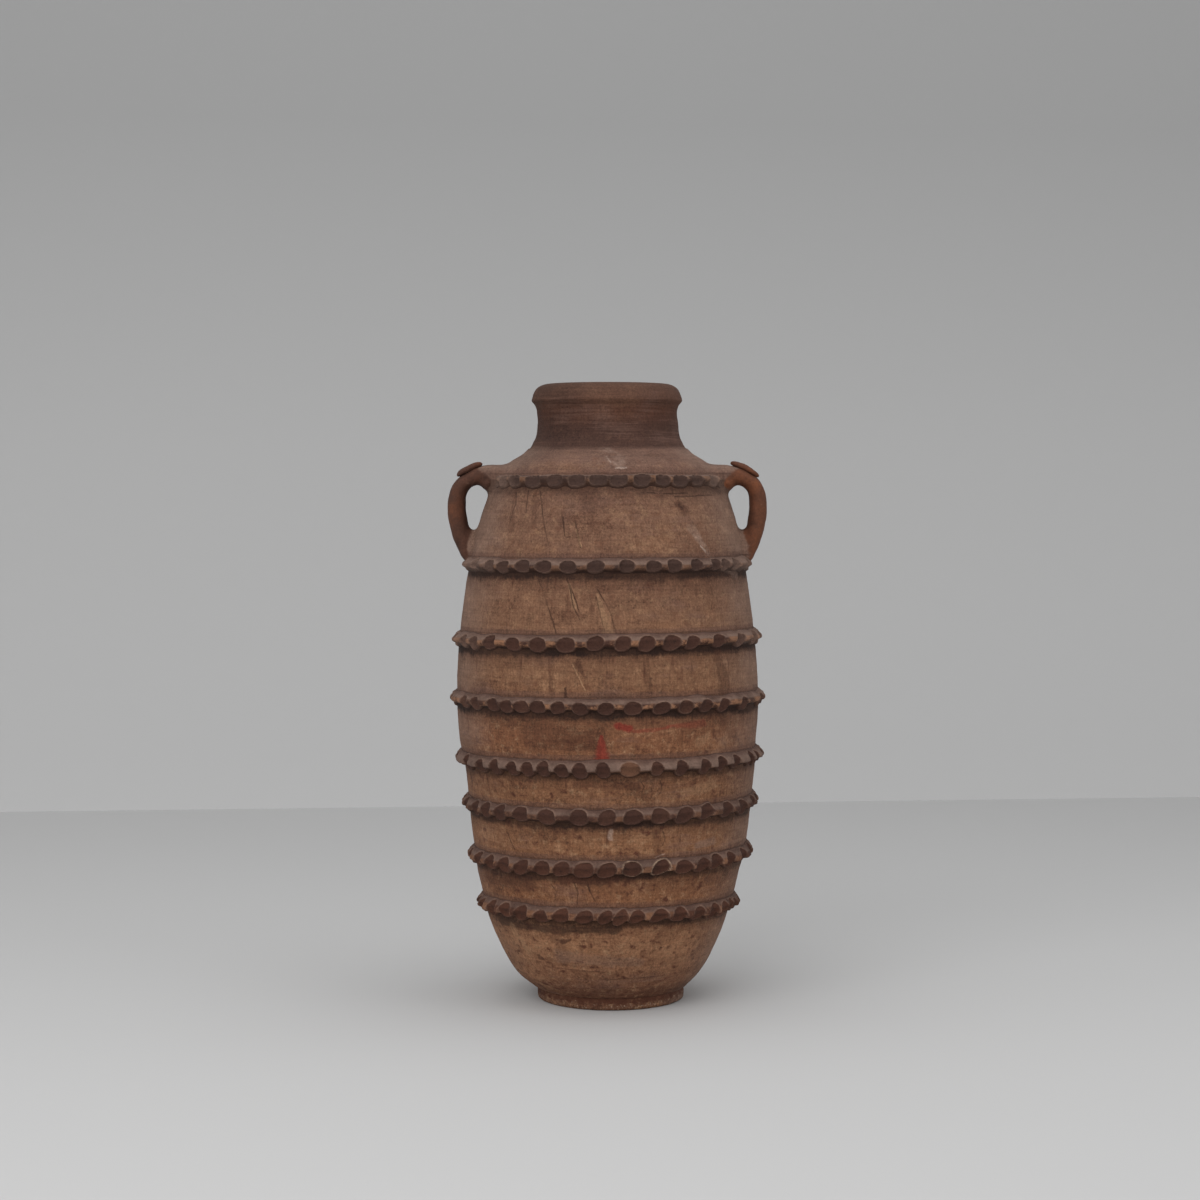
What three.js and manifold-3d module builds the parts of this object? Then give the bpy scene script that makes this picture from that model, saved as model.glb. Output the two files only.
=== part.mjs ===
// A tall two-handled terracotta storage jar with eight finger-pressed bands, in millimetres, +Z up.
// The jar stands on the XY plane with its axis on Z. Its front faces -Y and its handles stand at +X and -X.
// It is put together as a potter builds it: a base disc, five wall rings raised one on another, a neck and
// a lip, and then the bands, the handles and their buttons pressed on. Each joint is a ridge in a groove.
import * as THREE from "three";
import { mergeVertices } from "three/addons/utils/BufferGeometryUtils.js";
import Module from "manifold-3d";

// Clay and joints
const slipGap = 0.3; // layer of slip left between two pieces
const handleSlip = 0.8; // layer of slip between a handle and the wall
const wallThickness = 10;
const seamRise = 4; // height of the ridge along each joint
const aroundSteps = 48; // flats round the jar

// The foot stands inset from the body's lower edge
const foot = { height: 14, inset: 4, taper: 1, edge: 2, ledge: 1.5 };
const body = { tall: 613, widest: 170.5 };

// Outer wall from foot to neck, at each place where its curve changes: up is a share of the body's height
// and out a share of its widest radius.
const bodyCurve = [
  { up: 0, out: 0.504 },
  { up: 0.029, out: 0.619 },
  { up: 0.073, out: 0.713 },
  { up: 0.134, out: 0.803 },
  { up: 0.254, out: 0.907 },
  { up: 0.38, out: 0.959 },
  { up: 0.515, out: 1.005 },
  { up: 0.628, out: 0.991 },
  { up: 0.76, out: 0.93 },
  { up: 0.866, out: 0.85 },
  { up: 0.936, out: 0.754 },
  { up: 0.975, out: 0.648 },
  { up: 1, out: 0.525 },
];
const outerSteps = 5; // flats up the outside of one wall ring
const innerSteps = 3; // flats up its inside
const coreSteps = 24; // flats up the whole wall where a handle is cut to it

// Neck and lip, each from the piece below: the waist is up a share of the neck's height
const neck = { tall: 48, inset: 2, waistIn: 9.1, waistUp: 0.69, flare: 0.35, topOut: 1.8 };
const lip = { tall: 25, edgeUp: 6, proud: 4.6, crestIn: 16.8, mouthIn: 3.5, mouthDown: 9 };

// The bands from the top one down: up is a band's middle as a share of the body's height, rightUp and
// frontUp are how far that side of it rides high, presses is how many finger prints it has all round, and
// thick is how far it stands out as a share of bandProud.
// seen is where the prints of its front half appear to the eye below, in steps from the picture's left.
const bands = [
  {
    name: "band_1", up: 0.938, tall: 18, presses: 34, thick: 1, rightUp: 0, frontUp: 0,
    seen: [516, 534, 556, 577, 598, 619, 642, 663, 680, 697, 712],
  },
  {
    name: "band_2", up: 0.785, tall: 22, presses: 37, thick: 1, rightUp: 0.5, frontUp: 0.5,
    seen: [466, 477, 491, 504, 523, 544, 568, 596, 627, 654, 675, 697, 716, 725, 735, 746],
  },
  {
    name: "band_3", up: 0.65, tall: 24, presses: 37, thick: 1, rightUp: 1.8, frontUp: 1.6,
    seen: [457, 466, 476, 491, 514, 538, 566, 595, 623, 647, 672, 693, 719, 740, 753],
  },
  {
    name: "band_4", up: 0.54, tall: 22, presses: 40, thick: 1, rightUp: 0.5, frontUp: 2,
    seen: [454, 466, 477, 494, 507, 522, 538, 558, 580, 606, 633, 662, 686, 706, 724, 744, 760],
  },
  {
    name: "band_5", up: 0.4315, tall: 26, presses: 43, thick: 1.15, rightUp: 2.6, frontUp: 0.9,
    seen: [459, 468, 482, 496, 513, 528, 544, 562, 580, 603, 630, 657, 681, 704, 721, 736, 750],
  },
  {
    name: "band_6", up: 0.347, tall: 24, presses: 35, thick: 1.05, rightUp: 1.4, frontUp: -1,
    seen: [467, 476, 486, 500, 521, 547, 579, 607, 633, 660, 684, 706, 727, 743, 753],
  },
  {
    name: "band_7", up: 0.252, tall: 24, presses: 38, thick: 1.2, rightUp: 2.5, frontUp: 0.6,
    seen: [472, 479, 491, 505, 522, 543, 562, 584, 607, 632, 660, 683, 701, 715, 729, 742, 749],
  },
  {
    name: "band_8", up: 0.16, tall: 24, presses: 42, thick: 1.3, rightUp: 0, frontUp: 3.8,
    seen: [484, 493, 506, 522, 542, 562, 585, 605, 620, 636, 658, 678, 697, 712, 722, 729],
  },
];
// The eye in front of the jar that the prints' places are given for
const eye = { distance: 2960, aside: -8.5, steps: 2600, middle: 600 };
const [topBand, tailBand] = bands; // the handles' roots meet the top one, and their tails run onto the next
const seamBands = bands.filter((_, i) => i % 2); // every second band covers a joint between two rings
const bandProud = 8.5; // how far a band stands out of the wall

// A band's outline from its top edge to its bottom edge: between two finger prints, along the side of a
// print and across its middle. up is a share of half the band's height and out a share of bandProud.
const crestOutline = [
  { up: 1, out: 0 },
  { up: 0.17, out: 1 },
  { up: -0.13, out: 0.96 },
  { up: -0.5, out: 0.22 },
  { up: -1, out: 0 },
];
const sideOutline = [
  { up: 1, out: 0 },
  { up: 0.17, out: 1 },
  { up: -0.2, out: 0.84 },
  { up: -0.56, out: 0.5 },
  { up: -1, out: 0 },
];
const printOutline = [
  { up: 1, out: 0 },
  { up: 0.55, out: 0.36 },
  { up: -0.2, out: 0.38 },
  { up: -0.56, out: 0.56 },
  { up: -1, out: 0 },
];
// The room that a handle's tail leaves for the band under it
const roomOutline = [
  { up: 1, out: 0 },
  { up: 0.17, out: 1 },
  { up: -0.2, out: 0.96 },
  { up: -0.56, out: 0.64 },
  { up: -1, out: 0 },
];
const print = { halfWide: 8.8, room: 0.44 }; // a print's half width, and the most as a share of its spacing
const leastCrest = 4; // width from which a crest is left between two prints
const uneven = { share: 0.16, step: 2.4 }; // how far prints stray, in spacings, and how fast that changes

const topBandEnd = 17; // degrees between the middle of a handle and each end of the top band
const topBandTaper = 9; // degrees over which such an end thins out
const topBandEndShare = 0.45; // how thick it ends, as a share of bandProud

// A handle's arm from its root on the shoulder to its tail: rise is its middle's height over band 2 as a
// share of the way to band 1, out is how far its middle stands out of the wall, and its section is an oval.
const handlePath = [
  { rise: 1.106, out: -16, thickness: 26, width: 82 },
  { rise: 1.096, out: 8, thickness: 22, width: 62 },
  { rise: 1.064, out: 21, thickness: 18, width: 46 },
  { rise: 0.968, out: 30, thickness: 18, width: 38 },
  { rise: 0.83, out: 34, thickness: 20, width: 36 },
  { rise: 0.681, out: 32, thickness: 20.5, width: 36 },
  { rise: 0.49, out: 23.5, thickness: 21, width: 36 },
  { rise: 0.309, out: 14.5, thickness: 23, width: 38 },
  { rise: 0.16, out: 4, thickness: 20, width: 44 },
  { rise: 0.053, out: -9, thickness: 18, width: 46 },
];
const armRows = 20; // sections along an arm
const armCorners = 14; // corners round one section

// A button: along is its place on the arm, from root to tail, and sunk how far it is pressed in
const button = { radius: 16, thickness: 7, along: 0.33, sunk: 2.5, edgeRound: 2 };

const clay = (red, green, blue) =>
  new THREE.MeshStandardMaterial({ color: new THREE.Color(red, green, blue), roughness: 0.9, metalness: 0 });
const wallClay = clay(0.3, 0.16, 0.1);
const neckClay = clay(0.16, 0.085, 0.062);
const footClay = clay(0.2, 0.1, 0.06);
const bandClay = clay(0.19, 0.095, 0.062);
const handleClay = clay(0.22, 0.1, 0.058);
const buttonClay = clay(0.22, 0.115, 0.075);

const wasm = await Module();
wasm.setup();

// Solids and meshes
function solidFrom(geometry) {
  const bare = geometry.clone();
  bare.deleteAttribute("normal");
  bare.deleteAttribute("uv");
  const merged = mergeVertices(bare, 1e-4);
  const vertProperties = new Float32Array(merged.getAttribute("position").array);
  const triVerts = new Uint32Array(merged.index.array);
  return new wasm.Manifold(new wasm.Mesh({ numProp: 3, vertProperties, triVerts }));
}

function geometryFrom(solid) {
  const mesh = solid.getMesh();
  const geometry = new THREE.BufferGeometry();
  geometry.setAttribute("position", new THREE.BufferAttribute(mesh.vertProperties, 3));
  geometry.setIndex(new THREE.BufferAttribute(mesh.triVerts, 1));
  geometry.computeVertexNormals();
  return geometry;
}

const jar = new THREE.Group();

function place(name, geometry, material) {
  const mesh = new THREE.Mesh(geometry, material);
  mesh.name = name;
  jar.add(mesh);
}

// A closed outline of radius and height, turned about the jar's axis
function turned(outline) {
  const closed = [...outline, outline[0]].map(([radius, height]) => new THREE.Vector2(radius, height));
  return new THREE.LatheGeometry(closed, aroundSteps).rotateX(Math.PI / 2);
}

const heightOf = (share) => foot.height + share * body.tall;

// The wall's outer radius at a height: a smooth curve through bodyCurve, and its slope
function wallAt(height) {
  const last = bodyCurve.length - 1;
  const slopeAt = (i) => {
    const low = bodyCurve[Math.max(i - 1, 0)];
    const high = bodyCurve[Math.min(i + 1, last)];
    return (high.out - low.out) / (high.up - low.up);
  };
  const up = (height - foot.height) / body.tall;
  let i = 0;
  while (i < last - 1 && up > bodyCurve[i + 1].up) i += 1;
  const [low, high] = [bodyCurve[i], bodyCurve[i + 1]];
  const span = high.up - low.up;
  const t = THREE.MathUtils.clamp((up - low.up) / span, 0, 1);
  const [leaving, arriving] = [slopeAt(i), slopeAt(i + 1)];
  const rise = high.out - low.out;
  const out = low.out + rise * t * t * (3 - 2 * t) + span * t * (1 - t) * (leaving * (1 - t) - arriving * t);
  const steady = (rise / span) * 6 * t * (1 - t);
  const slope = steady + leaving * (1 - t) * (1 - 3 * t) + arriving * t * (3 * t - 2);
  return { radius: out * body.widest, slope: (slope * body.widest) / body.tall };
}

function innerRadius(height) {
  const { radius, slope } = wallAt(height);
  return radius - wallThickness * Math.hypot(1, slope);
}

// Radii and heights that follow from the pieces below
const footRadius = wallAt(foot.height).radius - foot.inset;
const footTopRadius = footRadius - foot.taper;
const neckBase = heightOf(1);
const neckTop = neckBase + neck.tall;
const neckBaseRadius = wallAt(neckBase).radius - neck.inset;
const waistRadius = neckBaseRadius - neck.waistIn;
const neckTopRadius = waistRadius + neck.topOut;
const boreRadius = waistRadius - wallThickness;

// A joint: the ridge along the top of the lower piece, and the groove of the piece above, raised by the slip
function seamLine(seam, raised) {
  const lift = raised ? slipGap / Math.cos(Math.atan2(2 * seamRise, seam.outer - seam.inner)) : 0;
  return [
    [seam.outer, seam.height + lift],
    [(seam.inner + seam.outer) / 2, seam.height + seamRise + lift],
    [seam.inner, seam.height + lift],
  ];
}

const wallSeam = (height) => ({ height, inner: innerRadius(height), outer: wallAt(height).radius });
const footSeam = { ...wallSeam(foot.height), outer: footTopRadius - foot.ledge };
const neckSeam = { ...wallSeam(neckBase), outer: neckBaseRadius };
const lipSeam = { height: neckTop, inner: boreRadius, outer: neckTopRadius };

// Base disc with a flat underside
function baseDisc() {
  return turned([
    [0, 0],
    [footRadius - foot.edge, 0],
    [footRadius, foot.edge],
    [footTopRadius, foot.height],
    ...seamLine(footSeam, false),
    [0, foot.height],
  ]);
}

// One wall ring between two joints
function wallRing(lower, upper) {
  const start = lower.height + slipGap;
  const rise = upper.height - start;
  const heightsIn = (steps) => Array.from({ length: steps - 1 }, (_, i) => start + (rise * (i + 1)) / steps);
  const outside = heightsIn(outerSteps).map((height) => [wallAt(height).radius, height]);
  const inside = heightsIn(innerSteps).map((height) => [innerRadius(height), height]);
  return turned([
    ...seamLine(lower, true).reverse(),
    ...shelf(lower, start),
    ...outside,
    ...shelf(upper, upper.height),
    ...seamLine(upper, false),
    ...inside.reverse(),
  ]);
}

// The edge of a ring where its joint stops short of its outside, as under the neck and on the foot
function shelf(seam, height) {
  const { radius } = wallAt(height);
  return radius - seam.outer > slipGap ? [[radius, height]] : [];
}

function neckRing() {
  const start = neckBase + slipGap;
  const waistHeight = neckBase + neck.tall * neck.waistUp;
  const turnHeight = THREE.MathUtils.lerp(start, waistHeight, neck.flare);
  const lower = new THREE.QuadraticBezierCurve(
    new THREE.Vector2(neckBaseRadius, start),
    new THREE.Vector2(waistRadius, turnHeight),
    new THREE.Vector2(waistRadius, waistHeight),
  );
  const upper = new THREE.QuadraticBezierCurve(
    new THREE.Vector2(waistRadius, waistHeight),
    new THREE.Vector2(waistRadius, (waistHeight + neckTop) / 2),
    new THREE.Vector2(neckTopRadius, neckTop),
  );
  const outside = [...lower.getPoints(4).slice(1), ...upper.getPoints(2).slice(1, -1)].map((p) => [p.x, p.y]);
  const bore = [boreRadius, turnHeight];
  return turned([...seamLine(neckSeam, true).reverse(), ...outside, ...seamLine(lipSeam, false), bore]);
}

function lipCoil() {
  const top = neckTop + lip.tall;
  const edgeHeight = neckTop + lip.edgeUp;
  const crestRadius = neckTopRadius + lip.proud - lip.crestIn;
  const quarter = Math.PI / 2;
  const arc = (wide, tall, from) =>
    new THREE.EllipseCurve(crestRadius, top - tall, wide, tall, from, from + quarter);
  const crown = arc(lip.crestIn, top - edgeHeight, 0);
  const mouth = arc(lip.mouthIn, lip.mouthDown, quarter);
  const rim = [...crown.getPoints(4), ...mouth.getPoints(2).slice(1)].map((p) => [p.x, p.y]);
  const innerEdge = [crestRadius - lip.mouthIn, edgeHeight];
  return turned([...seamLine(lipSeam, true).reverse(), ...rim, innerEdge]);
}

// Bands. Angles run from the front (-Y) towards the right (+X).
function bandMiddle(band, angle) {
  return heightOf(band.up) + band.rightUp * Math.sin(angle) + band.frontUp * Math.cos(angle);
}

// A section of a band at an angle, grown by the slip where it cuts the piece beside it. Its back follows the
// wall, and share thins it.
function bandSection(band, angle, outline, grow = 0, share = 1) {
  const middle = bandMiddle(band, angle);
  const half = band.tall / 2;
  const ends = (wallAt(middle - half).radius + wallAt(middle + half).radius) / 2;
  const bulge = Math.max(0, wallAt(middle).radius - ends); // how far the wall swells past a straight back
  return outline.map(({ up, out }) => {
    const height = middle + up * half + (out > 0 ? 0 : Math.sign(up) * 3 * grow);
    const back = (wallAt(height).radius + bulge + slipGap) / Math.cos(Math.PI / aroundSteps / 2);
    const radius = back + out * bandProud * band.thick * share + (out > 0 ? grow : -grow);
    return [radius * Math.sin(angle), -radius * Math.cos(angle), height];
  });
}

// Skins sections of the same number of points, closed into a ring or capped at both ends
function skinned(sections, ring) {
  const points = sections.flat();
  const size = sections[0].length;
  const faces = [];
  const rows = ring ? sections.length : sections.length - 1;
  for (let row = 0; row < rows; row += 1) {
    const next = (row + 1) % sections.length;
    for (let i = 0; i < size; i += 1) {
      const j = (i + 1) % size;
      const [a, b, c, d] = [row * size + i, row * size + j, next * size + j, next * size + i];
      if (row % 2) faces.push(a, b, d, b, c, d);
      else faces.push(a, b, c, a, c, d);
    }
  }
  if (!ring) {
    const end = (sections.length - 1) * size;
    for (let i = 1; i < size - 1; i += 1) {
      faces.push(0, i + 1, i, end, end + i, end + i + 1);
    }
  }
  const geometry = new THREE.BufferGeometry();
  geometry.setAttribute("position", new THREE.Float32BufferAttribute(points.flat(), 3));
  geometry.setIndex(faces);
  return geometry;
}

// The angle at which a point of this radius appears at a step across the eye's picture
function turnSeen(step, radius) {
  const sideways = (step - eye.middle) / eye.steps;
  let turn = 0;
  for (let i = 0; i < 8; i += 1) {
    const across = (sideways * (eye.distance - radius * Math.cos(turn)) + eye.aside) / radius;
    turn = Math.asin(THREE.MathUtils.clamp(across, -0.995, 0.995));
  }
  return turn;
}

// The angles of a band's prints from the left side round the front, and on round the back
function printTurns(band) {
  const radius = wallAt(heightOf(band.up)).radius + bandProud / 2;
  const front = band.seen.map((step) => turnSeen(step, radius));
  const last = front[front.length - 1];
  const gap = 2 * Math.PI - (last - front[0]);
  const count = Math.round((gap * band.presses) / (2 * Math.PI)) - 1;
  const stray = (i) => uneven.share * Math.sin(uneven.step * i + band.presses);
  const back = Array.from({ length: count }, (_, i) => last + (gap / (count + 1)) * (i + 1 + stray(i)));
  return [...front, ...back];
}

// The outlines of a band in order: each print's two sides and middle, and a crest where there is room
function bandColumns(band) {
  const { radius } = wallAt(heightOf(band.up));
  const turns = printTurns(band);
  const around = (i) => turns[(i + turns.length) % turns.length] + 2 * Math.PI * Math.floor(i / turns.length);
  const halfOf = (i) => {
    const spacing = Math.min(around(i + 1) - around(i), around(i) - around(i - 1));
    return Math.min(print.halfWide / radius, spacing * print.room);
  };
  return turns.flatMap((angle, i) => {
    const start = angle + halfOf(i);
    const end = around(i + 1) - halfOf(i + 1);
    const columns = [
      { angle: angle - halfOf(i), outline: sideOutline },
      { angle, outline: printOutline },
      { angle: start, outline: sideOutline },
    ];
    const crest = { angle: (start + end) / 2, outline: crestOutline };
    return (end - start) * radius > leastCrest ? [...columns, crest] : columns;
  });
}

function ringBand(band, grow = 0) {
  return skinned(
    bandColumns(band).map(({ angle, outline }) => bandSection(band, angle, grow ? roomOutline : outline, grow)),
    true,
  );
}

// Half of the top band, from one handle to the other, thinned out at its ends
function halfBand(band, middleAngle) {
  const reach = Math.PI / 2 - THREE.MathUtils.degToRad(topBandEnd);
  const taper = THREE.MathUtils.degToRad(topBandTaper);
  const between = bandColumns(band).filter(({ angle }) => Math.abs(angle - middleAngle) < reach - taper / 2);
  const ends = [-reach, reach].map((turn) => ({ angle: middleAngle + turn, outline: crestOutline }));
  const sections = [ends[0], ...between, ends[1]].map(({ angle, outline }) => {
    const fromEnd = reach - Math.abs(angle - middleAngle);
    const share = THREE.MathUtils.clamp(fromEnd / taper, topBandEndShare, 1);
    return bandSection(band, angle, outline, 0, share);
  });
  return skinned(sections, false);
}

// Handles: an oval arm that leaves the shoulder level, bends down and comes back to the wall
const handleCurve = new THREE.CatmullRomCurve3(
  handlePath.map(({ rise, out }) => {
    const height = heightOf(THREE.MathUtils.lerp(tailBand.up, topBand.up, rise));
    return new THREE.Vector3(wallAt(height).radius + out, 0, height);
  }),
);

// The arm's middle, direction and size a share of the way along it
function armAt(along) {
  const place = handleCurve.getUtoTmapping(along) * (handlePath.length - 1);
  const i = Math.min(Math.floor(place), handlePath.length - 2);
  const [from, to] = [handlePath[i], handlePath[i + 1]];
  return {
    middle: handleCurve.getPointAt(along),
    tangent: handleCurve.getTangentAt(along),
    thickness: THREE.MathUtils.lerp(from.thickness, to.thickness, place - i),
    width: THREE.MathUtils.lerp(from.width, to.width, place - i),
  };
}

function arm(grow) {
  const sections = [];
  for (let row = 0; row <= armRows; row += 1) {
    const { middle, tangent, thickness, width } = armAt(row / armRows);
    const section = [];
    for (let i = 0; i < armCorners; i += 1) {
      const turn = (i / armCorners) * 2 * Math.PI;
      const out = (thickness / 2 + grow) * Math.cos(turn);
      const across = (width / 2 + grow) * Math.sin(turn);
      section.push([middle.x - tangent.z * out, -across, middle.z + tangent.x * out]);
    }
    sections.push(section);
  }
  return solidFrom(skinned(sections, false));
}

// Everything inside the outer wall, grown by the slip, to cut a handle's ends to the wall
function wallCore() {
  const outline = Array.from({ length: coreSteps + 1 }, (_, i) => {
    const height = heightOf(i / coreSteps);
    return [wallAt(height).radius + handleSlip, height];
  });
  return solidFrom(turned([[0, heightOf(0)], ...outline, [0, heightOf(1)]]));
}

function handleSolid() {
  return arm(0).subtract(wallCore()).subtract(solidFrom(ringBand(tailBand, slipGap)));
}

// A flat pellet of clay pressed on the bend of a handle
function buttonSolid() {
  const { radius, thickness, edgeRound, along, sunk } = button;
  const outline = [
    [0, 0],
    [radius - edgeRound / 2, 0],
    [radius, thickness / 2],
    [radius - edgeRound, thickness],
    [0, thickness + edgeRound / 4],
  ].map(([r, h]) => new THREE.Vector2(r, h));
  const disc = new THREE.LatheGeometry(outline, 24).rotateX(Math.PI / 2);
  const { middle, tangent, thickness: armThickness } = armAt(along);
  const rise = armThickness / 2 - sunk;
  disc.rotateY(Math.atan2(-tangent.z, tangent.x));
  disc.translate(middle.x - tangent.z * rise, 0, middle.z + tangent.x * rise);
  return solidFrom(disc).subtract(arm(slipGap));
}

// The jar, from the ground up
place("base_disc", baseDisc(), footClay);

const ringNames = ["bowl_ring", "lower_belly_ring", "middle_belly_ring", "upper_belly_ring", "shoulder_ring"];
const coveredSeams = seamBands.map(({ up }) => wallSeam(heightOf(up))).reverse();
const ringSeams = [footSeam, ...coveredSeams, neckSeam];
ringNames.forEach((name, i) => place(name, wallRing(ringSeams[i], ringSeams[i + 1]), wallClay));

place("neck_ring", neckRing(), neckClay);
place("lip_coil", lipCoil(), neckClay);

bands.filter((band) => band !== topBand).forEach((band) => place(band.name, ringBand(band), bandClay));
const armRoom = arm(slipGap);
[
  ["front", 0],
  ["back", Math.PI],
].forEach(([word, angle]) => {
  const half = solidFrom(halfBand(topBand, angle)).subtract(armRoom).subtract(armRoom.mirror([1, 0, 0]));
  place(`${topBand.name}_${word}`, geometryFrom(half), bandClay);
});

const [rightHandle, rightButton] = [handleSolid(), buttonSolid()];
place("right_handle", geometryFrom(rightHandle), handleClay);
place("left_handle", geometryFrom(rightHandle.mirror([1, 0, 0])), handleClay);
place("right_button", geometryFrom(rightButton), buttonClay);
place("left_button", geometryFrom(rightButton.mirror([1, 0, 0])), buttonClay);

export default jar;
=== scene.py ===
import math

import bmesh
import bpy
import numpy as np
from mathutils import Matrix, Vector, noise
from mathutils.bvhtree import BVHTree


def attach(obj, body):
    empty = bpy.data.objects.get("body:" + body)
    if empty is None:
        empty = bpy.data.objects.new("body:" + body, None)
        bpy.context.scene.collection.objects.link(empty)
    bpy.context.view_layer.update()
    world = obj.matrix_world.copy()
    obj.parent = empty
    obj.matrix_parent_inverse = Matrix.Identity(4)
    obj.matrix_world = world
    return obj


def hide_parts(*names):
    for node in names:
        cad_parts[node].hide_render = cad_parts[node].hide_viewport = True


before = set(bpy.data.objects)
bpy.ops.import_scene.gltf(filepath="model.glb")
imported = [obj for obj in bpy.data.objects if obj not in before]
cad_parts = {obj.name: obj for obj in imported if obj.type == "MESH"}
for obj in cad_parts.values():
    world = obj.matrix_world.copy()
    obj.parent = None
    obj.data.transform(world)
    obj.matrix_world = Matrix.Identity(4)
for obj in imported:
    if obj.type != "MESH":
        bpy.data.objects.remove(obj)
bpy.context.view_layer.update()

mm = 0.001
tau = 2 * math.pi

# The photograph: 1200 pixels square, camera level with the handles and tipped a little down
photoCamera = {
    "place": (-0.0085, -2.960, 0.580), "tippedDown": 2.42, "lens": 78, "focalPixels": 2600, "middlePixel": 600,
}


def mathNode(operation, flipped=False):
    # a method that makes a math node of a value and others
    def made(value, *others):
        values = (*others, value) if flipped else (value, *others)
        return value.graph.node("ShaderNodeMath", {"operation": operation}, dict(enumerate(values)))

    return made


class Value:
    # one socket of a node tree, so that sums are written as sums
    def __init__(self, graph, socket):
        self.graph = graph
        self.socket = socket

    __add__ = __radd__ = mathNode("ADD")
    __mul__ = __rmul__ = mathNode("MULTIPLY")
    __sub__ = mathNode("SUBTRACT")
    __rsub__ = mathNode("SUBTRACT", flipped=True)
    __truediv__ = mathNode("DIVIDE")
    __rtruediv__ = mathNode("DIVIDE", flipped=True)
    __pow__ = mathNode("POWER")
    __mod__ = mathNode("FLOORED_MODULO")
    __abs__ = mathNode("ABSOLUTE")
    __lt__ = mathNode("LESS_THAN")
    __gt__ = mathNode("GREATER_THAN")
    within = mathNode("COMPARE")
    floor = mathNode("FLOOR")
    least = mathNode("MINIMUM")
    most = mathNode("MAXIMUM")
    sine = mathNode("SINE")
    cosine = mathNode("COSINE")
    arctan2 = mathNode("ARCTAN2")

    def __neg__(self):
        return self * -1

    def clipped(self):
        return self.most(0).least(1)

    def rise(self, low, high):
        # smoothly from 0 at low to 1 at high
        if low > high:
            return 1 - self.rise(high, low)
        settings = {"interpolation_type": "SMOOTHSTEP"}
        return self.graph.node("ShaderNodeMapRange", settings, {0: self, 1: low, 2: high})


class Graph:
    def __init__(self, tree, noiseGain=1):
        self.tree = tree
        self.given = {}
        self.noiseGain = noiseGain

    def node(self, kind, settings=None, values=None, out=0):
        made = self.tree.nodes.new(kind)
        for name, setting in (settings or {}).items():
            if name == "stops":
                stops = made.color_ramp.elements
                while len(stops) < len(setting):
                    stops.new(0.5)
                for stop, (place, colour) in zip(stops, setting):
                    stop.position = place
                    stop.color = (*colour, 1)
            else:
                setattr(made, name, setting)
        for place, value in (values or {}).items():
            if isinstance(value, Value):
                self.tree.links.new(value.socket, made.inputs[place])
            else:
                made.inputs[place].default_value = value
        if isinstance(out, tuple):
            return [Value(self, made.outputs[place]) for place in out]
        return Value(self, made.outputs[out])

    def vectorMath(self, operation, *values, out=0):
        return self.node("ShaderNodeVectorMath", {"operation": operation}, dict(enumerate(values)), out)

    def vector(self, x, y, z):
        return self.node("ShaderNodeCombineXYZ", {}, {0: x, 1: y, 2: z})

    def parts(self, vector):
        return self.node("ShaderNodeSeparateXYZ", {}, {0: vector}, (0, 1, 2))

    def sampled(self, source, value, index):
        # the parts of a vector at one point of another shape
        values = {"Geometry": source, "Value": value, "Index": index}
        return self.parts(self.node("GeometryNodeSampleIndex", {"data_type": "FLOAT_VECTOR"}, values))

    def scaled(self, vector, size):
        return self.node("ShaderNodeVectorMath", {"operation": "SCALE"}, {0: vector, "Scale": size})

    def noise(self, place, across, up=None, detail=2.0, rough=0.5, seed=0.0):
        # about -1 to 1, in lumps of the given sizes in metres across and up
        stretch = (1 / across, 1 / across, 1 / (up or across))
        spot = self.vectorMath("MULTIPLY_ADD", place, stretch, (seed * 7.3, seed * 3.1 + 5, seed * 5.7))
        values = {"Vector": spot, "Scale": 1, "Detail": detail, "Roughness": rough}
        gain = self.noiseGain
        return self.node("ShaderNodeTexNoise", {}, values) * (2 * gain) - gain

    def blend(self, base, other, share):
        values = {0: share, 6: base, 7: other}
        for place in (6, 7):
            if not isinstance(values[place], Value):
                values[place] = (*values[place], 1)
        return self.node("ShaderNodeMix", {"data_type": "RGBA"}, values, 2)


# Sums that serve both numpy and a node tree
def sine(angle):
    return angle.sine() if isinstance(angle, Value) else np.sin(angle)


def cosine(angle):
    return angle.cosine() if isinstance(angle, Value) else np.cos(angle)


def rise(value, low, high):
    if isinstance(value, Value):
        return value.rise(low, high)
    share = np.clip((value - low) / (high - low), 0, 1)
    return share * share * (3 - 2 * share)


# How the hand-built jar departs from a true round, the same for every piece. Angles run from the front
# (-Y) towards the right (+X).
jarForm = {
    # how far each stretch of the jar stands to the side in mm, and the heights between which that changes
    "aside": [(3.4, 0, 0.005), (-2.8, 0.008, 0.035), (1.1, 0.11, 0.13), (1.9, 0.145, 0.172),
              (-3.0, 0.262, 0.3), (-1.2, 0.33, 0.4), (1.0, 0.48, 0.56), (-1.3, 0.655, 0.67)],
    "oval": 0.9 * mm,
    "lobes": 0.5 * mm,
    "dents": 0.3 * mm,
}


def asideAt(height):
    first = jarForm["aside"][0][0] * mm
    return sum((rise(height, low, high) * (far * mm) for far, low, high in jarForm["aside"][1:]), first)


def unevenAt(angle, height):
    oval = jarForm["oval"] * sine(angle * 2 + height * 6 + 0.8)
    lobes = jarForm["lobes"] * sine(angle * 3 - height * 9 + 2.1)
    return oval + lobes + jarForm["dents"] * sine(angle * 5 + height * 14 + 1.3)


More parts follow.
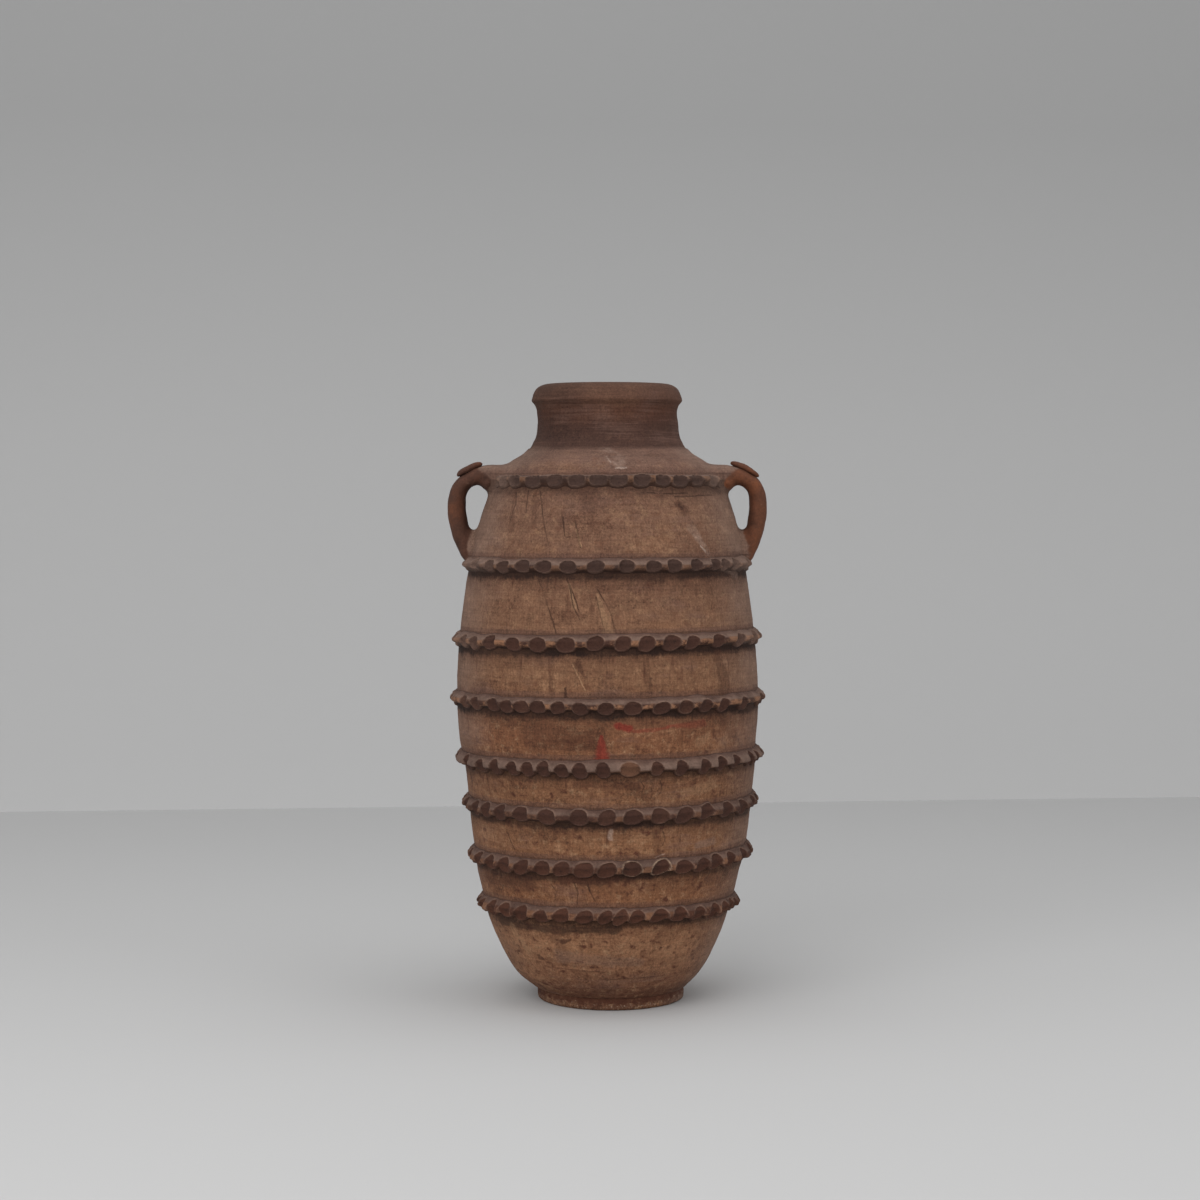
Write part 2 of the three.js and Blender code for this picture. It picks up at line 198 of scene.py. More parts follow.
def smoothLine(knots, slopes, lengths, at):
    # the points at these lengths along the line that passes each knot with its slope
    i = np.clip(np.searchsorted(lengths, at, side="right") - 1, 0, len(lengths) - 2)
    column = (*i.shape, *[1] * (knots.ndim - 1))
    span = (lengths[i + 1] - lengths[i]).reshape(column)
    t = (at - lengths[i]).reshape(column) / span
    step = (knots[i + 1] - knots[i]) * t * t * (3 - 2 * t)
    bend = span * t * (1 - t) * (slopes[i] * (1 - t) - slopes[i + 1] * t)
    return knots[i] + step + bend


def smoothThrough(knots, spread):
    # a smooth line through the knots; spread gives the lengths of its points from the whole length
    lengths = np.concatenate([[0], np.cumsum(np.hypot(*np.diff(knots[:, :2], axis=0).T))])
    return smoothLine(knots, np.gradient(knots, lengths, axis=0), lengths, spread(lengths[-1]))


def heights(low, high, spacing):
    return np.linspace(low, high, max(2, int(round((high - low) / spacing)) + 1))


def curveThrough(corners, spacing):
    # a smooth line through (height, radius) corners in mm, as (radius, height) points
    knots = np.array([(radius, height) for height, radius in corners]) * mm
    return [tuple(point) for point in smoothThrough(knots, lambda whole: heights(0, whole, spacing))]


# Outer wall from foot to neck: up is a share of the body's height, out a share of its widest radius
body = {
    "footTall": 14 * mm,
    "tall": 613 * mm,
    "widest": 170.5 * mm,
    "thickness": 10 * mm,
    "curve": [
        (0, 0.504), (0.029, 0.619), (0.073, 0.713), (0.134, 0.803), (0.254, 0.907), (0.38, 0.959),
        (0.515, 1.005), (0.628, 0.991), (0.76, 0.93), (0.866, 0.85), (0.936, 0.754), (0.975, 0.648),
        (0.99, 0.564), (1, 0.525),
    ],
}
curveUp, curveOut = np.array(body["curve"]).T
neighbours = [(max(i - 1, 0), min(i + 1, len(curveUp) - 1)) for i in range(len(curveUp))]
curveSlope = np.array([(curveOut[b] - curveOut[a]) / (curveUp[b] - curveUp[a]) for a, b in neighbours])


def heightOf(share):
    return body["footTall"] + share * body["tall"]


def wallRadius(height):
    up = np.clip((np.asarray(height, float) - body["footTall"]) / body["tall"], 0, 1)
    return smoothLine(curveOut, curveSlope, curveUp, up) * body["widest"]


def wallSlope(height):
    return (wallRadius(height + 0.5 * mm) - wallRadius(height - 0.5 * mm)) / mm


def innerRadius(height):
    return wallRadius(height) - body["thickness"] * np.hypot(1, wallSlope(height))


# Geometry Nodes trees
def shapeTree(name, inputs):
    tree = bpy.data.node_groups.new(name, "GeometryNodeTree")
    tree.interface.new_socket("Geometry", in_out="INPUT", socket_type="NodeSocketGeometry")
    tree.interface.new_socket("Geometry", in_out="OUTPUT", socket_type="NodeSocketGeometry")
    for label, kind in inputs.items():
        tree.interface.new_socket(label, in_out="INPUT", socket_type="NodeSocket" + kind)
    graph = Graph(tree)
    source = tree.nodes.new("NodeGroupInput")
    graph.given = {socket.name: Value(graph, socket) for socket in source.outputs if socket.name}
    return graph


def finishTree(graph, shape, angle, out, height):
    # moves the grid's points to their places round the axis, welds its borders and gives it its clay
    place = graph.vector(out * sine(angle) + asideAt(height), -(out * cosine(angle)), height)
    moved = graph.node("GeometryNodeSetPosition", {}, {"Geometry": shape, "Position": place})
    welded = graph.node("GeometryNodeMergeByDistance", {}, {"Geometry": moved, "Distance": 0.01 * mm})
    whole = graph.node("GeometryNodeRealizeInstances", {}, {0: welded})
    painted = graph.node("GeometryNodeSetMaterial", {}, {"Geometry": whole, "Material": graph.given["Clay"]})
    end = graph.tree.nodes.new("NodeGroupOutput")
    graph.tree.links.new(painted.socket, end.inputs[0])
    return graph.tree


def pointsMesh(name, points, **attributes):
    mesh = bpy.data.meshes.new(name)
    mesh.from_pydata([tuple(point) for point in points], [], [])
    for label, vectors in attributes.items():
        layer = mesh.attributes.new(label, "FLOAT_VECTOR", "POINT")
        layer.data.foreach_set("vector", np.asarray(vectors, np.float32).ravel())
    return mesh


def placed(name, data):
    thing = bpy.data.objects.new(name, data)
    bpy.context.scene.collection.objects.link(thing)
    return thing


def applied(piece, modifier):
    # the mesh that the modifier makes, kept in place of the modifier
    depsgraph = bpy.context.evaluated_depsgraph_get()
    mesh = bpy.data.meshes.new_from_object(piece.evaluated_get(depsgraph), depsgraph=depsgraph)
    piece.modifiers.remove(modifier)
    piece.data = mesh
    return mesh


def grown(name, points, tree, sizes, sharpAngle=50):
    # the tree's result on these points as a plain, closed mesh
    piece = placed(name, points)
    modifier = piece.modifiers.new("shape", "NODES")
    modifier.node_group = tree
    for item in tree.interface.items_tree:
        if item.in_out == "INPUT" and item.name in sizes:
            modifier[item.identifier] = sizes[item.name]
    tidyMesh(applied(piece, modifier), sharpAngle)
    return piece


def tidyMesh(mesh, sharpAngle):
    shape = bmesh.new()
    shape.from_mesh(mesh)
    edges = [edge for edge in shape.edges if edge.is_boundary]
    if edges:
        bmesh.ops.holes_fill(shape, edges=edges, sides=0)
    bmesh.ops.recalc_face_normals(shape, faces=shape.faces)
    shape.to_mesh(mesh)
    shape.free()
    mesh.shade_smooth()
    mesh.set_sharp_from_angle(angle=math.radians(sharpAngle))


def surfaceSwell(graph, angle, radius, height):
    # slow lumps left by building, the same in walls and bands
    spot = graph.vector(radius * sine(angle), -(radius * cosine(angle)), height)
    return unevenAt(angle, height) + graph.noise(spot, 70 * mm, 45 * mm, seed=1) * (0.7 * mm), spot


def turnedTree():
    inputs = {"Steps around": "Int", "Ripple height": "Float", "Ripple spacing": "Float", "Grit": "Float"}
    graph = shapeTree("turnedPiece", {**inputs, "Clay": "Material"})
    outline = graph.given["Geometry"]
    rows = graph.node("GeometryNodeAttributeDomainSize", {"component": "MESH"}, {0: outline}, "Point Count")
    steps = graph.given["Steps around"]
    grid = graph.node("GeometryNodeMeshGrid", {}, {"Vertices X": steps + 1, "Vertices Y": rows})
    index = graph.node("GeometryNodeInputIndex")
    angle = ((index / rows).floor() % steps) / steps * tau
    position = graph.node("GeometryNodeInputPosition")
    radius, _, height = graph.sampled(outline, position, index % rows)
    swell, spot = surfaceSwell(graph, angle, radius, height)
    spacing = graph.given["Ripple spacing"]
    turning = graph.vectorMath("MULTIPLY", spot, graph.vector(6, 6, 1 / spacing))
    values = {"Vector": turning, "Scale": 1, "Detail": 2, "Roughness": 0.55}
    ripples = (graph.node("ShaderNodeTexNoise", {}, values) * 2 - 1) * graph.given["Ripple height"]
    grit = graph.noise(spot, 9 * mm, detail=3, rough=0.6, seed=3) * graph.given["Grit"]
    turnedOut = radius + (swell + ripples + grit) * radius.rise(0, 0.05)
    return finishTree(graph, grid, angle, turnedOut, height)


# Bands from the top one down. up is a share of the body's height, and rightUp and frontUp say how far that side
# rides high. prints is how many go all round, printUp their middle over the crest, half their half width and
# half height, and lean the range of their slant. ledge is how far the sloping top reaches over the crest, and
# thick how thick the band is. bare is how much clay shows on the crest, dusty how far the dust reaches down from
# the top, dark how dark the band's sides are painted, painted shade under the ridge over dark slip, and
# stain how dark the wall below is painted, a dark stain with painted shadow over it. seen lists where
# the photograph shows the middles of the prints, in its pixels from the left. Lengths are in mm.
bandColumns = (
    "up", "rightUp", "frontUp", "prints", "printUp", "half", "ledge", "thick", "lean",
    "bare", "dusty", "dark", "stain", "seen",
)
bandRows = [
    (0.938, 0, 0, 34, -2.0, (9.2, 6.9), 7.5, 1.0, (-0.06, 0.12), 0.5, 0.0, 0.8, 0.45,
     [516, 534, 556, 577, 598, 619, 642, 663, 680, 697, 712]),
    (0.785, 0.5, 0.5, 37, -0.3, (9.4, 6.6), 9.0, 1.0, (-0.05, 0.12), 0.45, 0.2, 1.0, 0.85,
     [466, 477, 491, 504, 523, 544, 568, 596, 627, 654, 675, 697, 716, 725, 735, 746]),
    (0.65, 1.8, 1.6, 37, -1.6, (9.6, 7.5), 9.0, 1.0, (0.0, 0.22), 1.0, 0.0, 1.0, 1.0,
     [457, 466, 476, 491, 514, 538, 566, 595, 623, 647, 672, 693, 719, 740, 753]),
    (0.54, 0.5, 2.0, 40, -3.0, (9.0, 6.8), 8.0, 1.0, (-0.05, 0.2), 1.0, 0.0, 1.0, 0.95,
     [454, 466, 477, 494, 507, 522, 538, 558, 580, 606, 633, 662, 686, 706, 724, 744, 760]),
    (0.4315, 2.6, 0.9, 43, -2.0, (7.4, 8.2), 8.4, 1.15, (-0.05, 0.15), 0.4, 0.8, 0.75, 0.6,
     [459, 468, 482, 496, 513, 528, 544, 562, 580, 603, 630, 657, 681, 704, 721, 736, 750]),
    (0.347, 1.4, -1.0, 35, -0.8, (10.2, 8.2), 8.0, 1.05, (-0.05, 0.2), 0.35, -0.1, 0.8, 0.75,
     [467, 476, 486, 500, 521, 547, 579, 607, 633, 660, 684, 706, 727, 743, 753]),
    (0.252, 2.5, 0.6, 38, -1.2, (10.2, 8.2), 8.6, 1.2, (-0.05, 0.25), 0.6, -0.25, 0.8, 0.7,
     [472, 479, 491, 505, 522, 543, 562, 584, 607, 632, 660, 683, 701, 715, 729, 742, 749]),
    (0.16, 0, 3.8, 42, -1.5, (10.0, 8.0), 8.2, 1.3, (0.0, 0.3), 0.7, -0.5, 0.75, 0.65,
     [484, 493, 506, 522, 542, 562, 585, 605, 620, 636, 658, 678, 697, 712, 722, 729]),
]
bands = [{"name": f"band_{number}", **dict(zip(bandColumns, row))} for number, row in enumerate(bandRows, 1)]
bandLook = {
    "proud": 8.5 * mm, "crestUp": 2 * mm, "above": 14 * mm, "below": 18 * mm, "sunk": 0.8 * mm,
    "rowHeight": 0.9 * mm, "backSunk": 3.2 * mm, "taper": 7, "topHalfSweep": 74.5, "thinnest": 1.9 * mm,
    # the outline of a print: 2 is an oval, more is squarer
    "roundness": 2.3,
    # the ranges that the prints' sizes and depths in mm are drawn from
    "wide": (0.92, 1.1), "ofSpacing": (0.48, 0.54), "tall": (0.92, 1.08), "deep": (2.8, 4.0), "up": (-0.8, 0.8),
    # single prints, by their band and their pixel
    "worn": [("band_5", 630)], "chalky": [("band_7", 632), ("band_7", 660)],
}


def bandLine(band, sineOf, cosineOf):
    return heightOf(band["up"]) + (band["rightUp"] * sineOf + band["frontUp"] * cosineOf) * mm


def turnSeen(pixel, radius, height):
    # the angle of a point of this radius and height that the photograph shows at this pixel
    sideways = (pixel - photoCamera["middlePixel"]) / photoCamera["focalPixels"]
    tipped = math.radians(photoCamera["tippedDown"])
    turn = 0.0
    for _ in range(8):
        depth = -photoCamera["place"][1] - radius * math.cos(turn)
        ahead = depth * math.cos(tipped) + (photoCamera["place"][2] - height) * math.sin(tipped)
        across = (sideways * ahead + photoCamera["place"][0] - asideAt(height)) / radius
        turn = math.asin(max(-0.995, min(0.995, across)))
    return turn


def wallSeen(x, y):
    # the arc and height of the wall that the photograph shows at this pixel
    tipped = math.radians(photoCamera["tippedDown"])
    fall = math.tan(math.atan((photoCamera["middlePixel"] - y) / photoCamera["focalPixels"]) - tipped)
    turn, height = 0.0, 0.35
    for _ in range(12):
        radius = float(wallRadius(height))
        turn = turnSeen(x, radius, height)
        height = photoCamera["place"][2] + (-photoCamera["place"][1] - radius * math.cos(turn)) * fall
    return turn * radius, height, radius


# Paints. Colours are written as the photograph shows them.
def seen(red, green, blue):
    return tuple(((part / 255 + 0.055) / 1.055) ** 2.4 for part in (red, green, blue))


def paints(**colours):
    return {name: seen(*colour) for name, colour in colours.items()}


# the wall's colours at heights in mm, as red, green and blue; the bowl is painted lighter from about 40 to 140
# mm up, painted light from below
jarTall = 700
wallHeights = [
    (0, 108, 74, 55), (12, 98, 63, 46), (22, 108, 71, 52), (36, 126, 87, 64), (75, 140, 100, 73),
    (137, 122, 81, 56), (197, 127, 88, 62), (250, 123, 85, 60), (310, 119, 78, 54), (377, 122, 87, 64),
    (450, 121, 87, 66), (486, 112, 80, 62), (545, 116, 84, 66), (585, 110, 80, 64), (612, 109, 82, 70),
    (624, 109, 82, 70), (628, 72, 50, 42), (650, 70, 47, 39), (668, 77, 48, 36), (680, 84, 57, 45),
    (695, 82, 57, 46),
]
# the near-black paint under the bands is a dark slip stain with painted shadow over it
wallPaint = paints(
    pale=(154, 119, 90), dark=(82, 48, 34), ochre=(128, 86, 57), umber=(68, 40, 29), wiped=(104, 78, 68),
    dust=(122, 99, 87), violet=(94, 67, 57), pit=(44, 26, 19), speck=(190, 166, 144), red=(118, 48, 36),
    stain=(43, 26, 19), chalk=(182, 160, 146),
)
# marks that the photograph shows on the wall, as lines of pixels
cracks = [
    [(539, 580), (544, 592), (550, 608), (556, 625), (559, 634)],
    [(567, 579), (572, 594), (574, 606), (580, 619)],
    [(568, 581), (576, 599), (580, 612)],
    [(597, 589), (605, 602), (610, 612), (613, 622), (616, 634)],
    [(596, 597), (599, 610), (602, 621), (604, 633)],
    [(575, 520), (577, 528), (582, 548)], [(517, 492), (519, 505), (516, 522)], [(529, 490), (531, 512)],
    [(541, 492), (545, 508), (551, 530), (555, 545)], [(563, 517), (566, 535)],
    [(640, 492), (655, 493)], [(664, 494), (688, 493)], [(676, 497), (712, 495)],
    [(660, 781), (662, 786), (660, 794)], [(641, 782), (644, 787), (642, 793)],
    [(507, 832), (510, 840), (514, 850)], [(663, 832), (665, 838), (663, 845)],
    [(552, 885), (556, 891), (554, 900)], [(576, 884), (578, 894), (576, 904)],
    [(588, 884), (590, 892), (595, 901)],
]
# how wide a pixel of the photograph is on the wall, in mm
pixelWide = 1.07
# smaller marks: their paint and its share, their widths in pixels at both ends, and their lines
flakes = [
    ("pale", 0.5, (1.5, 3.0), [(569, 584), (576, 607)]),
    ("pale", 0.45, (1.5, 5.5), [(597, 594), (608, 633)]),
    ("chalk", 0.16, (5.5, 3.5), [(692, 528), (705, 552)]),
    ("chalk", 0.6, (0.8, 1), [(701, 546), (705, 551)]),
    ("chalk", 0.13, (5, 8), [(604, 448), (617, 462)]),
    ("chalk", 0.3, (0.7, 0.7), [(606, 456), (611, 463)]),
    ("chalk", 0.5, (0.8, 0.8), [(616, 468), (626, 467)]),
    ("umber", 0.35, (5, 3), [(536, 494), (540, 528)]),
    ("umber", 0.3, (13, 6), [(588, 492), (592, 514)]),
    ("umber", 0.3, (3, 4), [(516, 492), (519, 530)]),
    ("dust", 0.4, (4, 5), [(712, 560), (735, 575)]),
    ("umber", 0.6, (5, 5.5), [(679, 505), (683, 509)]),
    ("pit", 0.5, (2, 2.5), [(680, 505), (682, 509)]),
    ("chalk", 0.3, (2.4, 2.8), [(611, 831), (610, 838)]),
    ("chalk", 0.25, (0.7, 0.9), [(655, 857), (664, 854)]),
    ("pale", 0.6, (0.7, 0.9), [(572, 664), (586, 691)]),
    ("pale", 0.7, (0.7, 1.1), [(576, 529), (582, 547)]),
    ("pit", 0.7, (1.0, 2.4), [(565, 688), (566, 698)]),
    ("umber", 0.8, (2.4, 1.0), [(562, 942), (571, 939)]),
    ("umber", 0.4, (2.0, 3.0), [(550, 658), (552, 690)]),
    ("umber", 0.6, (4.0, 1.5), [(578, 664), (584, 676)]),
    ("umber", 0.35, (2.0, 3.0), [(648, 658), (649, 690)]),
    ("pale", 0.35, (7, 5), [(700, 742), (708, 736)]),
    ("pale", 0.3, (5, 7), [(684, 792), (712, 785)]),
    ("dust", 0.45, (4, 5), [(697, 845), (712, 841)]),
    # a dark ragged patch under band 7 with a painted shadow of a lifted scale over it
    ("umber", 0.75, (6, 4), [(564, 881), (616, 879)]),
    ("umber", 0.4, (4, 4), [(576, 785), (636, 786)]),
    # a dark stain under band 8 with painted shadow over it
    ("stain", 0.7, (5, 4), [(500, 921), (560, 930), (618, 929)]),
    ("umber", 0.5, (15, 12), [(534, 736), (596, 742)]),
    ("umber", 0.5, (9, 9), [(472, 806), (500, 812)]),
    ("umber", 0.5, (13, 9), [(486, 872), (530, 884)]),
    ("umber", 0.45, (7, 10), [(718, 655), (726, 694)]),
    ("umber", 0.4, (4, 5), [(655, 832), (659, 852)]),
    ("umber", 0.4, (6, 6), [(632, 786), (650, 802)]),
    ("umber", 0.3, (5, 8), [(556, 930), (560, 960)]),
    ("umber", 0.3, (9, 7), [(718, 716), (736, 738)]),
    ("umber", 0.4, (1.3, 0.8), [(545, 966), (604, 972)]),
    ("umber", 0.4, (1, 1.2), [(600, 979), (664, 975)]),
    ("dust", 0.3, (8, 5), [(560, 956), (640, 962)]),
    ("umber", 0.7, (2.6, 2), [(539, 957), (543, 959)]),
    ("pale", 0.35, (6, 5), [(512, 928), (524, 950)]),
    ("red", 1.0, (3.6, 4.4), [(617, 726), (630, 729)]),
    ("red", 0.5, (2.2, 2), [(634, 732), (668, 728)]),
    ("red", 0.45, (2.2, 4), [(668, 727), (703, 723)]),
    ("red", 1.0, (1.5, 8.6), [(601, 736), (601.5, 761)]),
]


class Spot:
    # where a point of the jar's surface is: in space, round the axis and up
    def __init__(self, graph):
        self.graph = graph
        self.place = graph.node("ShaderNodeTexCoord", {}, {}, "Object")
        x, y, self.up = graph.parts(self.place)
        x = x - asideAt(self.up)
        out = (x * x + y * y) ** 0.5
        self.sine = x / out
        self.cosine = -(y / out)
        self.turn = x.arctan2(-y)

    def noise(self, across, up=None, detail=2, rough=0.5, seed=0):
        # in lumps of the given sizes in mm
        return self.graph.noise(self.place, across * mm, up and up * mm, detail, rough, seed)

    def nearLine(self, pixels, wobble):
        # how far the point is from a line drawn on the wall in the photograph, and where along its last piece
        graph = self.graph
        places = [wallSeen(*pixel) for pixel in pixels]
        point = graph.vector(self.turn * places[0][2] + wobble[0], self.up + wobble[1], 0)
        nearest = None
        for start, end in zip(places, places[1:]):
            way = (end[0] - start[0], end[1] - start[1], 0)
            share = tuple(part / (way[0] ** 2 + way[1] ** 2) for part in way)
            offset = graph.vectorMath("SUBTRACT", point, (start[0], start[1], 0))
            along = graph.vectorMath("DOT_PRODUCT", offset, share, out="Value").clipped()
            rest = graph.vectorMath("SUBTRACT", offset, graph.scaled(way, along))
            away = graph.vectorMath("LENGTH", rest, out="Value")
            nearest = away if nearest is None else nearest.least(away)
        return nearest, along


class Coat:
    # paints laid over each other, each given by its name or as a colour
    def __init__(self, graph, palette, first):
        self.graph = graph
        self.palette = palette
        self.colour = palette.get(first, first)

    def lay(self, paint, share):
        self.colour = self.graph.blend(self.colour, self.palette.get(paint, paint), share)

    def lit(self, bright):
        # never darker than a third of the paint
        return self.graph.scaled(self.colour, bright.most(0.3))


def bandDistances(spot):
    # how far the point is below the crest of the band over it and how dark that band's painted shadow and stain
    # are, and how far it is over the top edge of the band under it. Bands on the wrong side count as metres
    # away.
    below, over, dark = None, None, 0
    for band in bands:
        down = bandLine(band, spot.sine, spot.cosine) + bandLook["crestUp"] - spot.up
        down = down + (down < -14 * mm)
        up = -down - band["ledge"] * mm
        up = up + (up < -6 * mm) * 3
        if below is None:
            below, over, dark = down, up, band["stain"]
            continue
        closer = down < below
        dark = dark + closer * (band["stain"] - dark)
        below = below.least(down)
        over = over.least(up)
    return below, over, dark


def wallLook(spot, marked=True):
    graph = spot.graph
    broad = spot.noise(80, 50, detail=3, rough=0.55, seed=12)
    patch = spot.noise(26, 15, detail=5, rough=0.7, seed=13)
    wipe = spot.noise(60, 2.4, detail=4, rough=0.7, seed=14)
    streak = spot.noise(8, 90, detail=4, rough=0.65, seed=15)
    grain = spot.noise(2.3, detail=3, rough=0.9, seed=16)
    weave = spot.noise(2.0, 16, detail=3, rough=0.7, seed=17)
    mottle = spot.noise(9, 7.5, detail=4, rough=0.6, seed=11)
    gritty = spot.noise(60, 40, seed=18)
    pit = spot.noise(4.2, 4.8, detail=3, rough=0.7, seed=19)
    below, over, dark = bandDistances(spot)

    stops = [(height / jarTall, seen(*colour)) for height, *colour in wallHeights]
    values = {0: spot.up / (jarTall * mm)}
    coat = Coat(graph, wallPaint, graph.node("ShaderNodeValToRGB", {"stops": stops}, values, "Color"))
    belly = 1 - spot.up.rise(0.59, 0.63) * 0.85
    worn = 0.6 + spot.up.rise(0.4, 0.28) * 0.6
    mixed = patch * 0.9 + broad * 0.5 + grain * 0.3
    coat.lay("pale", mixed.rise(0.0, 1.5) * belly * 0.75)
    coat.lay("dark", mixed.rise(-0.1, -1.3) * belly * 0.85)
    coat.lay("ochre", (broad - patch * 0.5).rise(0.1, 1.2) * belly * 0.35)
    coat.lay("umber", (streak + patch * 0.4).rise(0.15, 1.2) * belly * 0.6)
    coat.lay("dark", (mottle + patch * 0.6 + grain * 0.15).rise(0.05, 1.1) * belly * worn * 0.85)
    coat.lay("pale", (grain * 0.15 - patch * 0.3 - mottle).rise(0.15, 1.1) * belly * worn * 0.6)
    coat.lay("wiped", (wipe * 0.5 + gritty * 0.9 - patch * 0.2).rise(0.15, 1.1) * 0.45)
    # greyer towards the jar's left and right sides as seen from the front: partly dust, partly painted sheen
    # where the light grazes
    dusty = (abs(spot.sine) + patch * 0.05 + broad * 0.06).rise(0.66, 1.02) * 0.6
    clean = (-spot.sine).rise(0, 0.5) * spot.up.rise(0.31, 0.26)
    coat.lay("dust", dusty * (1 - clean * 0.8) * (1 - spot.up.rise(0.622, 0.632)))

    # painted shadow over dark stains under the bands, runs from them, and a dusty seam over the next one
    ragged = (patch * 2.6 + streak * 1.6 + broad * 1.6 + grain * 0.7) * mm
    depth = below + ragged
    isBelow = below.rise(-3 * mm, 0) * (dark * (1 + broad * 0.35 - gritty * 0.25)).clipped()
    coat.lay("umber", (1 - depth.rise(12 * mm, 34 * mm)) * isBelow * 0.5)
    runs = (streak + grain * 0.2).rise(0.2, 1.1) * (1 - (below + broad * (9 * mm)).rise(14 * mm, 52 * mm))
    coat.lay("umber", runs * isBelow * 0.75)
    coat.lay("stain", (1 - depth.rise(11.5 * mm, 19 * mm)) * isBelow)
    seam = 1 - (over + ragged * 0.8).rise(0.5 * mm, 10 * mm)
    coat.lay("violet", seam * 0.6)
    crease = 1 - abs(over + wipe * (0.4 * mm)).rise(0.2 * mm, 1.6 * mm)
    coat.lay("pit", crease * (0.3 + patch * 0.3).most(0))

    pits = (pit + gritty * 0.35 + grain * 0.15).rise(0.95, 1.3)
    coat.lay("pit", pits * 0.65)
    coat.lay("speck", (gritty * 0.2 - pit + grain * 0.15).rise(1.2, 1.45) * 0.35)
    bump = wipe * 0.1 + patch * 0.2 + grain * 0.12 + weave * 0.08 - pits * 0.4
    if marked:
        wobble = (pit * (0.5 * mm) + patch * (1.3 * mm), grain * (0.4 * mm) - patch * (1.3 * mm))
        crack = None
        for line in cracks:
            away, _ = spot.nearLine(line, wobble)
            crack = away if crack is None else crack.least(away)
        for paint, share, wide, line in flakes:
            away, along = spot.nearLine(line, wobble)
            start, end = (pixels * pixelWide * mm for pixels in wide)
            reach = away / (along * (end - start) + start) + patch * 0.45 + mottle * 0.3 + grain * 0.15
            coat.lay(paint, (1 - reach.rise(0.5, 1.3)) * (share + patch * 0.2).most(0))
        strength = (streak * 0.5 + patch * 0.4 + 0.7).most(0.25).least(1)
        crack = (1 - (crack - grain * (0.4 * mm)).rise(0.1 * mm, 1.1 * mm)) * strength
        coat.lay("pit", crack * 0.75)
        bump = bump - crack * 0.8
    bright = 1 + broad * 0.08 + wipe * 0.18 + weave * (0.04 + belly * 0.15) + patch * 0.12 + streak * 0.09
    # the neck and shoulder painted lighter towards the right: painted light from that side
    bright = bright + grain * (0.32 + worn * 0.09) + spot.sine * (1 - belly) * 0.2
    return coat.lit(bright), bump, 0.88 + patch * 0.04


def footLook(spot):
    # the foot is gritty where it has been dragged over sand
    wallColour, bump, rough = wallLook(spot, marked=False)
    coat = Coat(spot.graph, wallPaint, wallColour)
    sand = spot.noise(2.6, detail=3, rough=0.8, seed=41)
    chip = spot.noise(7, 5, detail=3, rough=0.7, seed=42)
    low = 1 - (spot.up + chip * (3 * mm)).rise(5 * mm, 10 * mm)
    coat.lay("dark", ((chip * 0.7 + 0.8) * (1 - low)).clipped())
    coat.lay("pit", sand.rise(0.2, 0.6) * 0.6 * low)
    coat.lay("speck", (-sand).rise(0.3, 0.8) * 0.6 * low)
    coat.lay("pit", chip.rise(0.7, 0.95) * 0.7)
    return coat.colour, bump + sand * 0.3, rough


# under is painted shade under the ridges over dark slip, edge a pale rim that is partly painted highlight, and
# the darkest print paint painted shade inside the prints
bandPaint = paints(
    print=(66, 41, 32), highPrint=(64, 45, 38), lowPrint=(75, 45, 33), deepPrint=(46, 29, 23), worn=(92, 62, 46),
    ledge=(112, 90, 79), ledgeTop=(92, 69, 60), crest=(130, 92, 68), chip=(196, 166, 140), side=(104, 72, 55),
    under=(44, 26, 19), edge=(138, 110, 94),
)


